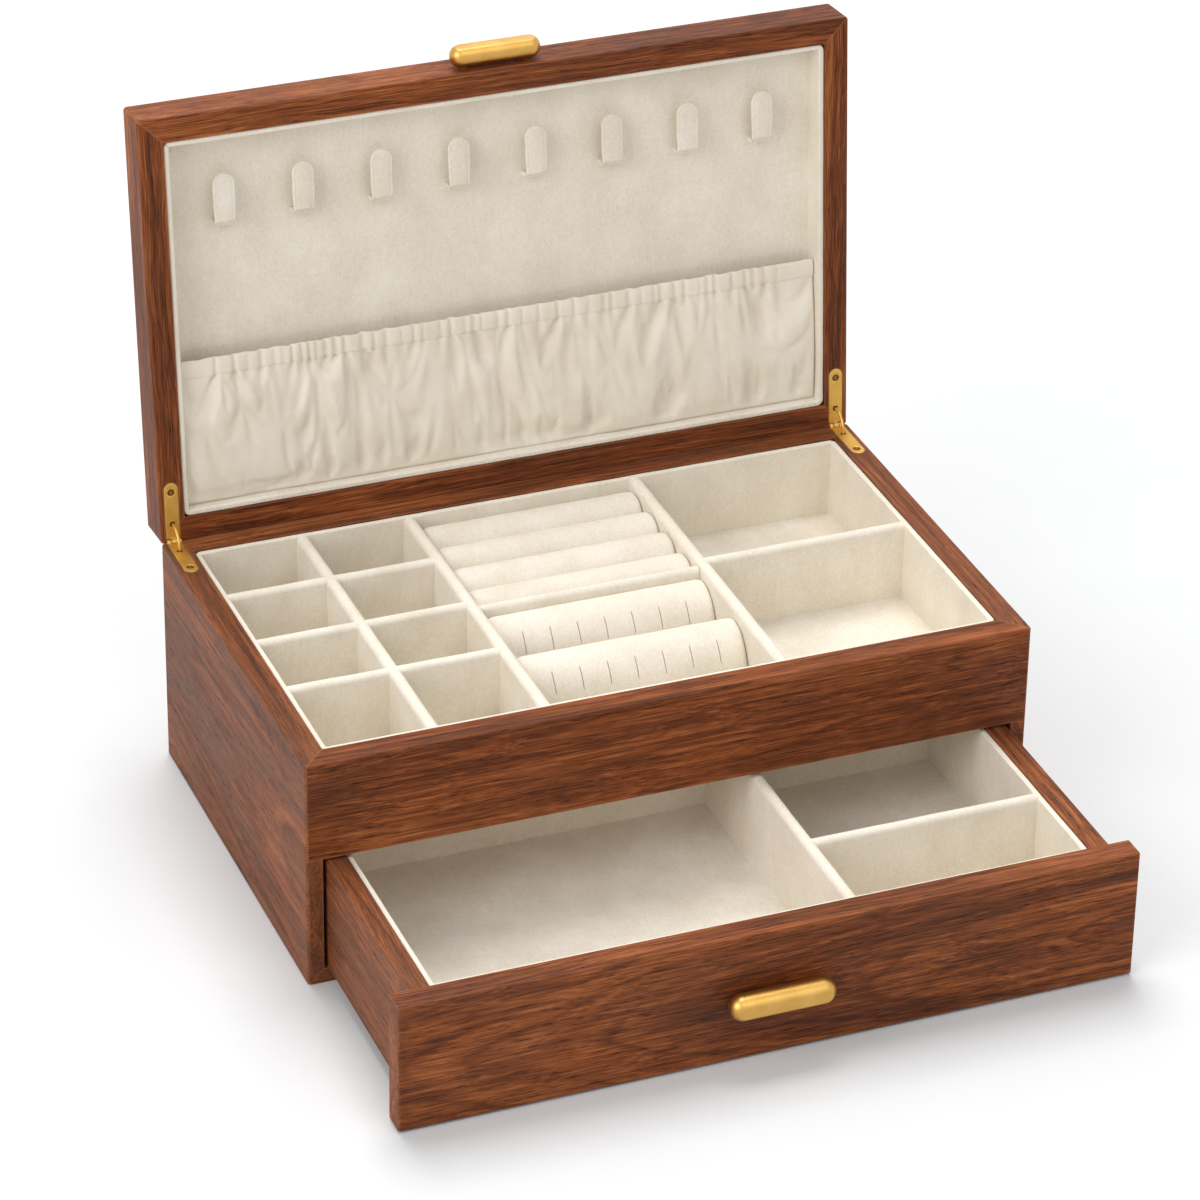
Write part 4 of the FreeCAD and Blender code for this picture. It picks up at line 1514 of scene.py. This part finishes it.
@dataclass
class NecklaceHooks:
    """Eight covered tabs that stand off the lid's panel, each on a bent foot."""

    count: int = 8
    pitch: float = 34.9
    width: float = 9.8
    foot_width: float = 8.9
    waist: float = 9.0  # height over which the foot widens
    seam: float = 1.25  # how far the seam lies inside the edge
    seam_depth: float = 0.2
    seam_width: float = 0.4
    thickness: float = 2.0
    tip_share: float = 0.55  # the thickness at the very tip, as a share of the whole
    bend: float = 1.7
    bend_steps: int = 6
    tip_steps: int = 9
    section_steps: int = 44
    body: str = "lid"
    slot: str = "lining_velvet"

    def path(self, span: Span) -> list[Point]:
        """Draws a tab's middle line.

        Args:
            span: the box of all the tabs, in the shut lid.

        Returns:
            For each point its y, its z and the direction there, as an angle from the panel's inward side.
        """
        half = self.thickness / 2
        upright = math.pi / 2
        foot_y, out_z = span.high.y - half, span.low.z + half
        points = [(foot_y, z, 0.0) for z in spread(span.high.z, out_z + self.bend, 1.2)]
        for k in range(1, self.bend_steps + 1):
            turn = upright * k / self.bend_steps
            y = foot_y - self.bend * (1 - math.cos(turn))
            z = out_z + self.bend * (1 - math.sin(turn))
            points.append((y, z, turn))
        tip, radius = span.low.y, self.width / 2
        points += [(y, out_z, upright) for y in spread(foot_y - self.bend, tip + radius, 1.6)[1:]]
        turns = (upright * k / self.tip_steps for k in range(1, self.tip_steps + 1))
        return points + [(tip + radius * (1 - math.sin(turn)), out_z, upright) for turn in turns]

    def section(self, width: float, thickness: float) -> list[Pair]:
        """Draws a tab's section: a strip with soft edges, and a sunk seam inside each edge of its face.

        Args:
            width: from side to side.
            thickness: from face to back.

        Returns:
            Places across and up, around the section.
        """
        section = []
        for cos, up in squared_circle(self.section_steps, 0.34, 0.55):
            across = width / 2 * cos
            groove = math.exp(-(((abs(across) - width / 2 + self.seam) / self.seam_width) ** 2))
            sewn = up < 0 and width > 4 * self.seam
            section.append((across, thickness / 2 * up + (self.seam_depth * groove if sewn else 0.0)))
        return section

    def build(self, finishes: Finishes) -> None:
        """Builds the tabs.

        Args:
            finishes: the materials.
        """
        node = "necklace_hooks"
        span = Span.of(node, Place.LID)
        shell = Shell()
        for number in range(self.count):
            x = (number - (self.count - 1) / 2) * self.pitch
            loops = []
            for y, z, turn in self.path(span):
                section = self.section(*self.breadth(span, y))
                loops.append([(x + a, y + b * math.cos(turn), z + b * math.sin(turn)) for a, b in section])
            shell.loft(unevenness(np.array(loops), 7.0, 0.12, 2.0 * number))
        shell.build(node + "_velvet", finishes.lining, self.body, [node], self.slot, Place.LID, 70)

    def breadth(self, span: Span, y: float) -> Pair:
        """Measures a tab at a height.

        Args:
            span: the box of all the tabs, in the shut lid.
            y: the height.

        Returns:
            The width and the thickness there.
        """
        radius = self.width / 2
        widening = min(1.0, (span.high.y - y) / self.waist)
        if y >= span.low.y + radius:
            return self.foot_width + (self.width - self.foot_width) * widening, self.thickness
        share = min(1.0, (span.low.y + radius - y) / radius)
        width = max(0.3, self.width * math.sqrt(max(0.0, 1 - share * share)))
        full = self.tip_share + (1 - self.tip_share) * math.sqrt(max(0.0, 1 - share**3))
        return width, self.thickness * full


CLOTH = {  # how the pocket's cloth behaves while it falls into folds
    "quality": 6,
    "mass": 0.2,
    "tension_stiffness": 25,
    "compression_stiffness": 25,
    "shear_stiffness": 8,
    "bending_stiffness": 2.5,
    "air_damping": 2.0,
}


class PleatKind(Enum):
    """The two kinds of pleat, with the limits of their length, depth and slant."""

    LONG = ((20, 44), (1.7, 2.7), (-0.5, 0.55))
    SHORT = ((5, 14), (0.35, 1.5), (-0.2, 0.2))


@dataclass(frozen=True)
class Pleat:
    """One pleat of the pocket."""

    place: float
    depth: float
    length: float  # below the stitches
    slant: float
    width: float

    def under_hem(self, x: float, under: float) -> float:
        """Gives how far it draws the cloth in, at a distance below the hem.

        Args:
            x: the place along the pocket.
            under: the distance below the hem.

        Returns:
            How far it draws the cloth in. Beside it the cloth bulges out, which counts less than nothing.
        """
        width = self.width + 0.115 * under + 0.6 * min(1.0, under / 4)
        away = (x - self.place - self.slant * under) / width
        if abs(away) >= 4:
            return 0.0
        fade = math.exp(-((under / self.length) ** 1.6))
        return self.depth * fade * (math.exp(-away * away) - 0.45 * math.exp(-((away - 1.9) ** 2)))

    def in_hem(self, x: float, share: float) -> float:
        """Gives how far it draws the hem in, at a share of the hem's height below its upper edge."""
        away = (x - self.place) / self.width
        return min(1.5, self.depth) * math.exp(-away * away) * (0.75 + 0.25 * share)


@dataclass
class LidPocket:
    """The gathered pocket: a cloth with a ruched hem at its mouth, sewn in at its sides and its foot."""

    hem: float = 8.0
    hem_thick: float = 1.9
    hem_stand: float = 6.9  # how far the hem stands off the panel
    stand: float = 6.7  # the same for the cloth below it
    sag: float = 1.3  # how much further its foot stands off
    bulge: float = 1.5  # how much further its middle does
    least: float = 1.2  # the least that it stands off
    cloth: float = 0.9  # its thickness
    flat_left: float = 16.0  # ungathered ends
    flat_right: float = 11.0
    pleat_pitch: Pair = (3.2, 8.8)  # distance between pleats
    pleat_width: Pair = (0.7, 1.5)
    long_share: float = 0.22  # share of the pleats that are long
    fold_size: Pair = (21.0, 24.0)  # the soft folds' width and height
    fold_depth: float = 5.0
    fold_in: float = 0.6
    dimple_size: float = 7.0  # the dimples along the foot
    dimple_depth: float = 8.0
    sewn: float = 6.0  # how far from a sewn edge the cloth comes up
    fullness: float = 1.22  # the cloth's cut width over the pocket's width
    slack: float = 1.12  # its cut height over the pocket's height
    column: float = 0.9  # distance between the cloth's points, along and up
    row: float = 1.4
    work_scale: float = 10.0  # how much larger than life the cloth is simulated
    outward: float = 1.0  # pull away from the panel
    frames: int = 36
    stitch: float = 1.5
    stitch_pitch: float = 2.5
    seed: int = 11
    body: str = "lid"
    slot: str = "pocket_cloth"

    def build(self, finishes: Finishes) -> None:
        """Builds the cloth, the hem and its stitches.

        Args:
            finishes: the materials.
        """
        self.span = Span.of("lid_pocket", Place.LID)
        self.panel = Span.of("lid_liner_panel", Place.LID).low.z
        self.pleats = self.draw_pleats(np.random.default_rng(self.seed))
        cloth = self.build_cloth(finishes)
        trim = [self.build_hem(finishes), self.build_stitches(finishes)]
        self.flat_size()

    def flat_size(self) -> Pair:
        """Measures the cloth as it was cut, in metres.

        Returns:
            The width and the height.
        """
        cut = self.cut_points(self.cloth_points())
        wide = float(np.mean(cut[:, -1, 0] - cut[:, 0, 0]))
        high = float(cut[-1, 0, 1] - cut[0, 0, 1])
        return wide * MM, high * MM

    def draw_pleats(self, draw: np.random.Generator) -> list[Pleat]:
        """Chooses the pleats, from left to right.

        Args:
            draw: the source of chance.

        Returns:
            The pleats.
        """
        pleats = []
        x = self.span.low.x + self.flat_left
        while x < self.span.high.x - self.flat_right:
            kind = PleatKind.LONG if draw.random() < self.long_share else PleatKind.SHORT
            length, depth, slant = (draw.uniform(*limits) for limits in kind.value)
            pleats.append(Pleat(x, depth, length, slant, draw.uniform(*self.pleat_width)))
            x += draw.uniform(*self.pleat_pitch)
        return pleats

    def belly(self, below: float) -> float:
        """Gives how far the cloth stands off the panel at a distance below its upper edge.

        Args:
            below: the distance below its upper edge.

        Returns:
            How far it stands off, without its pleats and folds.
        """
        if below < self.hem:
            return self.hem_stand
        share = min(1.0, (below - self.hem) / (self.span.size().y - self.hem))
        return self.stand + self.sag * share + self.bulge * math.sin(math.pi * share)

    def gather(self, x: float, below: float) -> float:
        """Gives how far the pleats move the cloth out, which is mostly less than nothing.

        Args:
            x: the place along the pocket.
            below: the distance below its upper edge.

        Returns:
            The distance.
        """
        under = below - self.hem
        if under <= 0:
            return -sum(pleat.in_hem(x, below / self.hem) for pleat in self.pleats)
        return -sum(pleat.under_hem(x, under) for pleat in self.pleats)

    def folds(self, x: float, y: float, rise: float) -> float:
        """Gives the soft folds between the pleats, and the dimples along the foot.

        Args:
            x: the place along the pocket.
            y: the place down it.
            rise: its distance from the foot, over the height of the dimples.

        Returns:
            How far they move the cloth out.
        """
        wide, high = self.fold_size
        soft = noise.noise(Vector((x / wide, y / high, 3.1))) * self.fold_depth - self.fold_in
        dimple = min(0.0, noise.noise(Vector((x / self.dimple_size, 0.0, 5.3))) + 0.08) * self.dimple_depth
        return soft + dimple * rise * math.exp(1 - rise)

    def cloth_points(self) -> np.ndarray:
        """Draws the cloth's outer side, row by row, in the shut lid's coordinates.

        Returns:
            An array of rows by columns by three, in millimetres.
        """
        low, high = self.span.low, self.span.high
        xs = spread(low.x, high.x, self.column)
        ys = spread(low.y + self.hem - 0.9, high.y + 0.3, self.row)
        rows = []
        for y in ys:
            below, rise = y - low.y, (ys[-1] - y) / self.sewn
            row = []
            for x in xs:
                hold = math.sin(math.pi / 2 * min(1.0, min(x - low.x, high.x - x) / self.sewn))
                soft = self.folds(x, y, rise) * min(1, max(0, (below - self.hem) / 10))
                stand = self.belly(below) + (self.gather(x, below) + soft) * hold * min(1.0, rise)
                row.append((x, y, self.panel - stand))
            rows.append(row)
        return np.array(rows)

    def skin(self, front: np.ndarray) -> np.ndarray:
        """Turns the cloth's outer side into closed loops of its thickness.

        Args:
            front: the outer side, rows by columns by three.

        Returns:
            One loop for each row, out along the front and home along the back.
        """
        down = np.gradient(front, axis=0)
        over = np.gradient(front, axis=1)
        normal = np.cross(over, down)
        normal /= np.linalg.norm(normal, axis=2, keepdims=True)
        if normal[..., 2].mean() < 0:
            normal = -normal
        back = front + normal * self.cloth
        return np.concatenate([front, back[:, ::-1]], axis=1)

    def cut_points(self, drawn: np.ndarray) -> np.ndarray:
        """Lays the cloth out flat as it was cut, wider where it is gathered.

        Args:
            drawn: the gathered cloth, rows by columns by three.

        Returns:
            The flat cloth in the same order.
        """
        xs = drawn[0, :, 0]
        left, right = xs[0] + self.flat_left - 4, xs[-1] - self.flat_right + 4
        gathered = np.clip((xs - left) / 6, 0, 1) * np.clip((right - xs) / 6, 0, 1)
        flat = drawn.copy()
        shares = np.linspace(0, 1, len(drawn))
        for row, share in zip(flat, shares):
            fullness = 1 + (self.fullness - 1) * gathered * (1.1 - 0.3 * share)
            steps = np.diff(xs) * (fullness[1:] + fullness[:-1]) / 2
            widths = np.concatenate([[0.0], np.cumsum(steps)])
            row[:, 0] = widths - widths[-1] / 2
            row[:, 1] = drawn[0, 0, 1] + (row[:, 1] - drawn[0, 0, 1]) * self.slack
            row[:, 2] = self.panel - self.belly(self.hem)
        return flat

    def hang(self, drawn: np.ndarray) -> np.ndarray:
        """Lets the gathered cloth fall into folds by cloth simulation.

        Args:
            drawn: the gathered cloth as it starts, rows by columns by three.

        Returns:
            The same points where they come to rest.
        """
        rows, columns = drawn.shape[:2]
        scale = self.work_scale * MM

        def worked(points: np.ndarray) -> list[Point]:
            """Turns the shut lid's coordinates into upright ones, enlarged."""
            flat = points.reshape(-1, 3) * scale
            return [(x, z, -y) for x, y, z in flat]

        numbers = np.arange(rows * columns).reshape(rows, columns)
        faces = [
            (int(numbers[r, c]), int(numbers[r + 1, c]), int(numbers[r + 1, c + 1]), int(numbers[r, c + 1]))
            for r in range(rows - 1)
            for c in range(columns - 1)
        ]
        mesh = bpy.data.meshes.new("hanging")
        mesh.from_pydata(worked(drawn), [], faces)
        cloth = link("hanging", mesh)
        cloth.shape_key_add(name="drawn")
        cut = cloth.shape_key_add(name="cut")
        for point, place in zip(cut.data, worked(self.cut_points(drawn))):
            point.co = place
        held = cloth.vertex_groups.new(name="held")
        edges = set(numbers[0]) | set(numbers[-1]) | set(numbers[:, 0]) | set(numbers[:, -1])
        held.add([int(n) for n in edges], 1.0, "REPLACE")
        modifier = cloth.modifiers.new("hang", "CLOTH")
        modifier.settings.vertex_group_mass = "held"
        modifier.settings.rest_shape_key = cut
        for name, value in CLOTH.items():
            setattr(modifier.settings, name, value)
        modifier.collision_settings.use_collision = False
        modifier.point_cache.frame_end = self.frames
        scene = bpy.context.scene
        gravity = tuple(scene.gravity)
        scene.gravity = (0.0, -self.outward, -9.8)
        for moment in range(1, self.frames + 1):
            scene.frame_set(moment)
        fallen = cloth.evaluated_get(bpy.context.evaluated_depsgraph_get()).to_mesh()
        places = np.array([vertex.co for vertex in fallen.vertices]) / scale
        scene.gravity = gravity
        scene.frame_set(1)
        bpy.data.objects.remove(cloth)
        bpy.data.meshes.remove(mesh)
        settled = np.stack([places[:, 0], -places[:, 2], places[:, 1]], axis=1).reshape(drawn.shape)
        return self.in_room(settled, drawn[-1, 0, 1])

    def in_room(self, settled: np.ndarray, foot: float) -> np.ndarray:
        """Keeps the cloth in front of the panel, inside the pocket's box and above its foot.

        Args:
            settled: the cloth, rows by columns by three.
            foot: where its foot is sewn in.

        Returns:
            The cloth where it has room.
        """
        stand = self.panel - settled[..., 2]
        room = self.panel - self.span.low.z
        most = np.minimum(room - 0.1, self.belly(self.span.size().y) + 0.3 * (foot - settled[..., 1]))
        over = np.maximum(0.0, stand - most + 1.0)
        settled[..., 2] = self.panel - np.clip(stand - over * over / (1.0 + over), self.least, most)
        settled[..., 1] = np.minimum(settled[..., 1], foot)
        return settled

    def build_cloth(self, finishes: Finishes) -> bpy.types.Object:
        """Builds the cloth below the hem.

        Args:
            finishes: the materials.

        Returns:
            The cloth.
        """
        points = self.cloth_points()
        points = self.hang(points)
        shell, name = Shell().loft(self.skin(points)), "pocket_gathered_cloth"
        return shell.build(name, finishes.cloth, self.body, ["lid_pocket"], self.slot, Place.LID, 180)

    def build_hem(self, finishes: Finishes) -> bpy.types.Object:
        """Builds the hem: a flattened tube with the same pleats.

        Args:
            finishes: the materials.

        Returns:
            The hem.
        """
        loops = []
        half = self.hem / 2
        for x in spread(self.span.low.x, self.span.high.x, 0.6):
            loop = []
            for up, out in squared_circle(22, 0.75, 0.8):
                below = half - (half + 0.15) * up
                edge = noise.noise(Vector((x / 5, 0.0, 8.0))) * 0.5 if up > 0 else 0.0
                stand = self.hem_stand - 0.2 + self.hem_thick / 2 * out
                stand += self.gather(x, min(self.hem, max(0.0, below))) * 0.9
                loop.append((x, self.span.low.y + below + edge, self.panel - stand))
            loops.append(loop)
        shell = Shell().loft(np.array(loops))
        return shell.build("pocket_hem", finishes.cloth, self.body, [], self.slot, Place.LID, 180)

    def build_stitches(self, finishes: Finishes) -> bpy.types.Object:
        """Builds the row of short stitches below the hem.

        Args:
            finishes: the materials.

        Returns:
            The stitches.
        """
        shell = Shell()
        profile = ((0.0, 0.05), (0.2, 0.2), (1.2, 0.2), (1.4, 0.05))
        y = self.span.low.y + self.hem - 0.2
        x = self.span.low.x + 1.0
        while x < self.span.high.x - 2.0:
            stands = (self.belly(self.hem) + self.gather(at, self.hem) + 0.35 for at in (x, x + self.stitch))
            start, end = (Vector((at, y, self.panel - out)) for at, out in zip((x, x + self.stitch), stands))
            shell.lathe(profile, start, end - start, 8)
            x += self.stitch_pitch
        return shell.build("pocket_stitches", finishes.cloth, self.body, [], self.slot, Place.LID)


# ---------------------------------------------------------------- pulls
@dataclass
class Pull:
    """A finger pull: a round bar with a flat face, on two posts."""

    node: str
    radius: float
    post_spacing: float
    body: str
    place: Place
    flat: float = 0.8  # how much is cut off for the flat face
    tilt: float = 4.0  # how far that face looks down, in degrees
    edge: float = 0.5  # how far the face's edge is rounded
    end_steps: int = 16
    post_radius: float = 1.3
    post_length: float = 5.0
    slot: str = "satin_gold"

    def build(self, finishes: Finishes) -> None:
        """Builds the bar and its posts.

        Args:
            finishes: the materials.
        """
        span = Span.of(self.node, self.place)
        length = span.size().x
        middle = Vector((0.0, span.low.y - self.flat + self.radius, span.middle().z))
        turns = [math.pi / 2 * k / self.end_steps for k in range(1, self.end_steps + 1)]
        end = [(0.02, 0.25)] + [(self.radius * (1 - math.cos(t)), self.radius * math.sin(t)) for t in turns]
        profile = end + [(length - at, radius) for at, radius in reversed(end)]
        shell = Shell().lathe(profile, middle - Vector((length / 2, 0, 0)), Vector((1, 0, 0)), 72)
        self.cut_face(shell, middle)
        post = ((0.0, self.post_radius), (self.post_length, self.post_radius))
        for side in (-1, 1):
            foot = Vector((side * self.post_spacing / 2, span.high.y, middle.z))
            shell.lathe(post, foot, Vector((0, -1, 0)), 32)
        shell.build(self.node + "_bar", finishes.gold, self.body, [self.node], self.slot, self.place, 40)

    def cut_face(self, shell: Shell, middle: Vector) -> None:
        """Cuts the flat face and rounds its edge.

        Args:
            shell: the shell that holds the round bar.
            middle: the bar's centre.
        """
        cut = bmesh.new()
        points = [cut.verts.new(p) for p in shell.points]
        for face in shell.faces:
            cut.faces.new([points[n] for n in face])
        tilt = math.radians(self.tilt)
        out = Vector((0, -math.cos(tilt), -math.sin(tilt)))
        on_face = middle + out * (self.radius - self.flat)
        geometry = cut.verts[:] + cut.edges[:] + cut.faces[:]
        result = bmesh.ops.bisect_plane(cut, geom=geometry, plane_co=on_face, plane_no=out, clear_outer=True)
        rim = [part for part in result["geom_cut"] if isinstance(part, bmesh.types.BMEdge)]
        bmesh.ops.holes_fill(cut, edges=rim)
        rim = [edge for edge in cut.edges if all(abs((v.co - on_face).dot(out)) < TOUCH for v in edge.verts)]
        bmesh.ops.bevel(
            cut, geom=rim, offset=self.edge, segments=4, profile=0.5, affect="EDGES", clamp_overlap=True
        )
        bmesh.ops.remove_doubles(cut, verts=cut.verts[:], dist=TOUCH)
        cut.verts.index_update()
        shell.points = [tuple(v.co) for v in cut.verts]
        shell.faces = [tuple(v.index for v in f.verts) for f in cut.faces]
        cut.free()


# ---------------------------------------------------------------- hinges
@dataclass
class Hinges:
    """The two stop hinges, with their pins, stays and screws."""

    leaf_nodes: Sequence[str] = (
        "hinge_lower_leaf_left",
        "hinge_lower_leaf_right",
        "hinge_upper_leaf_left",
        "hinge_upper_leaf_right",
    )
    brass_nodes: Sequence[str] = ("hinge_stay_left", "hinge_stay_right", "hinge_pins")
    screw_nodes: Sequence[str] = ("drawer_pull_screws", "lid_pull_screws")
    shank: float = 0.9  # radius of a hinge screw's shank
    screw_tip: float = 1.4  # length of its point
    screw_face: Sequence[Pair] = (  # depths of its face, and how far out they are
        (0.4, 0.01),
        (0.35, 0.16),
        (-0.1, 0.24),
        (-0.12, 0.44),
        (0.75, 0.5),
        (0.8, 0.68),
        (-0.05, 0.76),
        (-0.14, 0.88),
        (0.02, 1.0),
    )

    def dress(self, finishes: Finishes) -> None:
        """Gives the pieces their metal.

        Args:
            finishes: the materials.
        """
        metals = (finishes.leaf, finishes.brass, finishes.screw)
        for nodes, metal in zip((self.leaf_nodes, self.brass_nodes, self.screw_nodes), metals):
            for node in nodes:
                dress(node, metal)

    def build_screws(self, node: str, body: str, place: Place, finishes: Finishes) -> None:
        """Builds the two screws of one node, each with a ring sunk in its head.

        Args:
            node: the screws' node.
            body: the body that they move with.
            place: the coordinates that they are drawn in.
            finishes: the materials.
        """
        span = Span.of(node, place)
        head = span.size().y / 2
        length = span.size().z
        profile = [(depth, share * head) for depth, share in self.screw_face]
        profile += [(head - self.shank, self.shank), (length - self.screw_tip, self.shank), (length, 0.15)]
        top, down = (span.high.z, -1.0) if place is Place.STANDING else (span.low.z, 1.0)
        shell = Shell()
        for x in (span.low.x + head, span.high.x - head):
            shell.lathe(profile, Vector((x, span.middle().y, top)), Vector((0, 0, down)), 32)
        shell.build(node + "_turned", finishes.screw, body, [node], "screw_brass", place, 24)

    def build(self, finishes: Finishes) -> None:
        """Builds the hinges' screws."""
        self.build_screws("hinge_screws_case", "case", Place.STANDING, finishes)
        self.build_screws("hinge_screws_lid", "lid", Place.LID, finishes)


def main() -> None:
    """Builds the pieces in order."""
    logging.basicConfig(level=logging.INFO, format="%(name)s: %(message)s")
    Studio().build()
    finishes = Finishes()
    Carcass().dress(finishes)
    Tray().build(finishes)
    RingSection().build(finishes)
    drawer = Drawer()
    drawer.dress(finishes)
    drawer.build(finishes)
    lid = Lid()
    lid.dress()
    lid.build(finishes)
    NecklaceHooks().build(finishes)
    LidPocket().build(finishes)
    Pull("drawer_pull", 5.6, 32.0, "drawer", Place.STANDING).build(finishes)
    Pull("lid_pull", 5.0, 28.0, "lid", Place.LID).build(finishes)
    hinges = Hinges()
    hinges.dress(finishes)
    hinges.build(finishes)


if __name__ == "__main__":
    main()
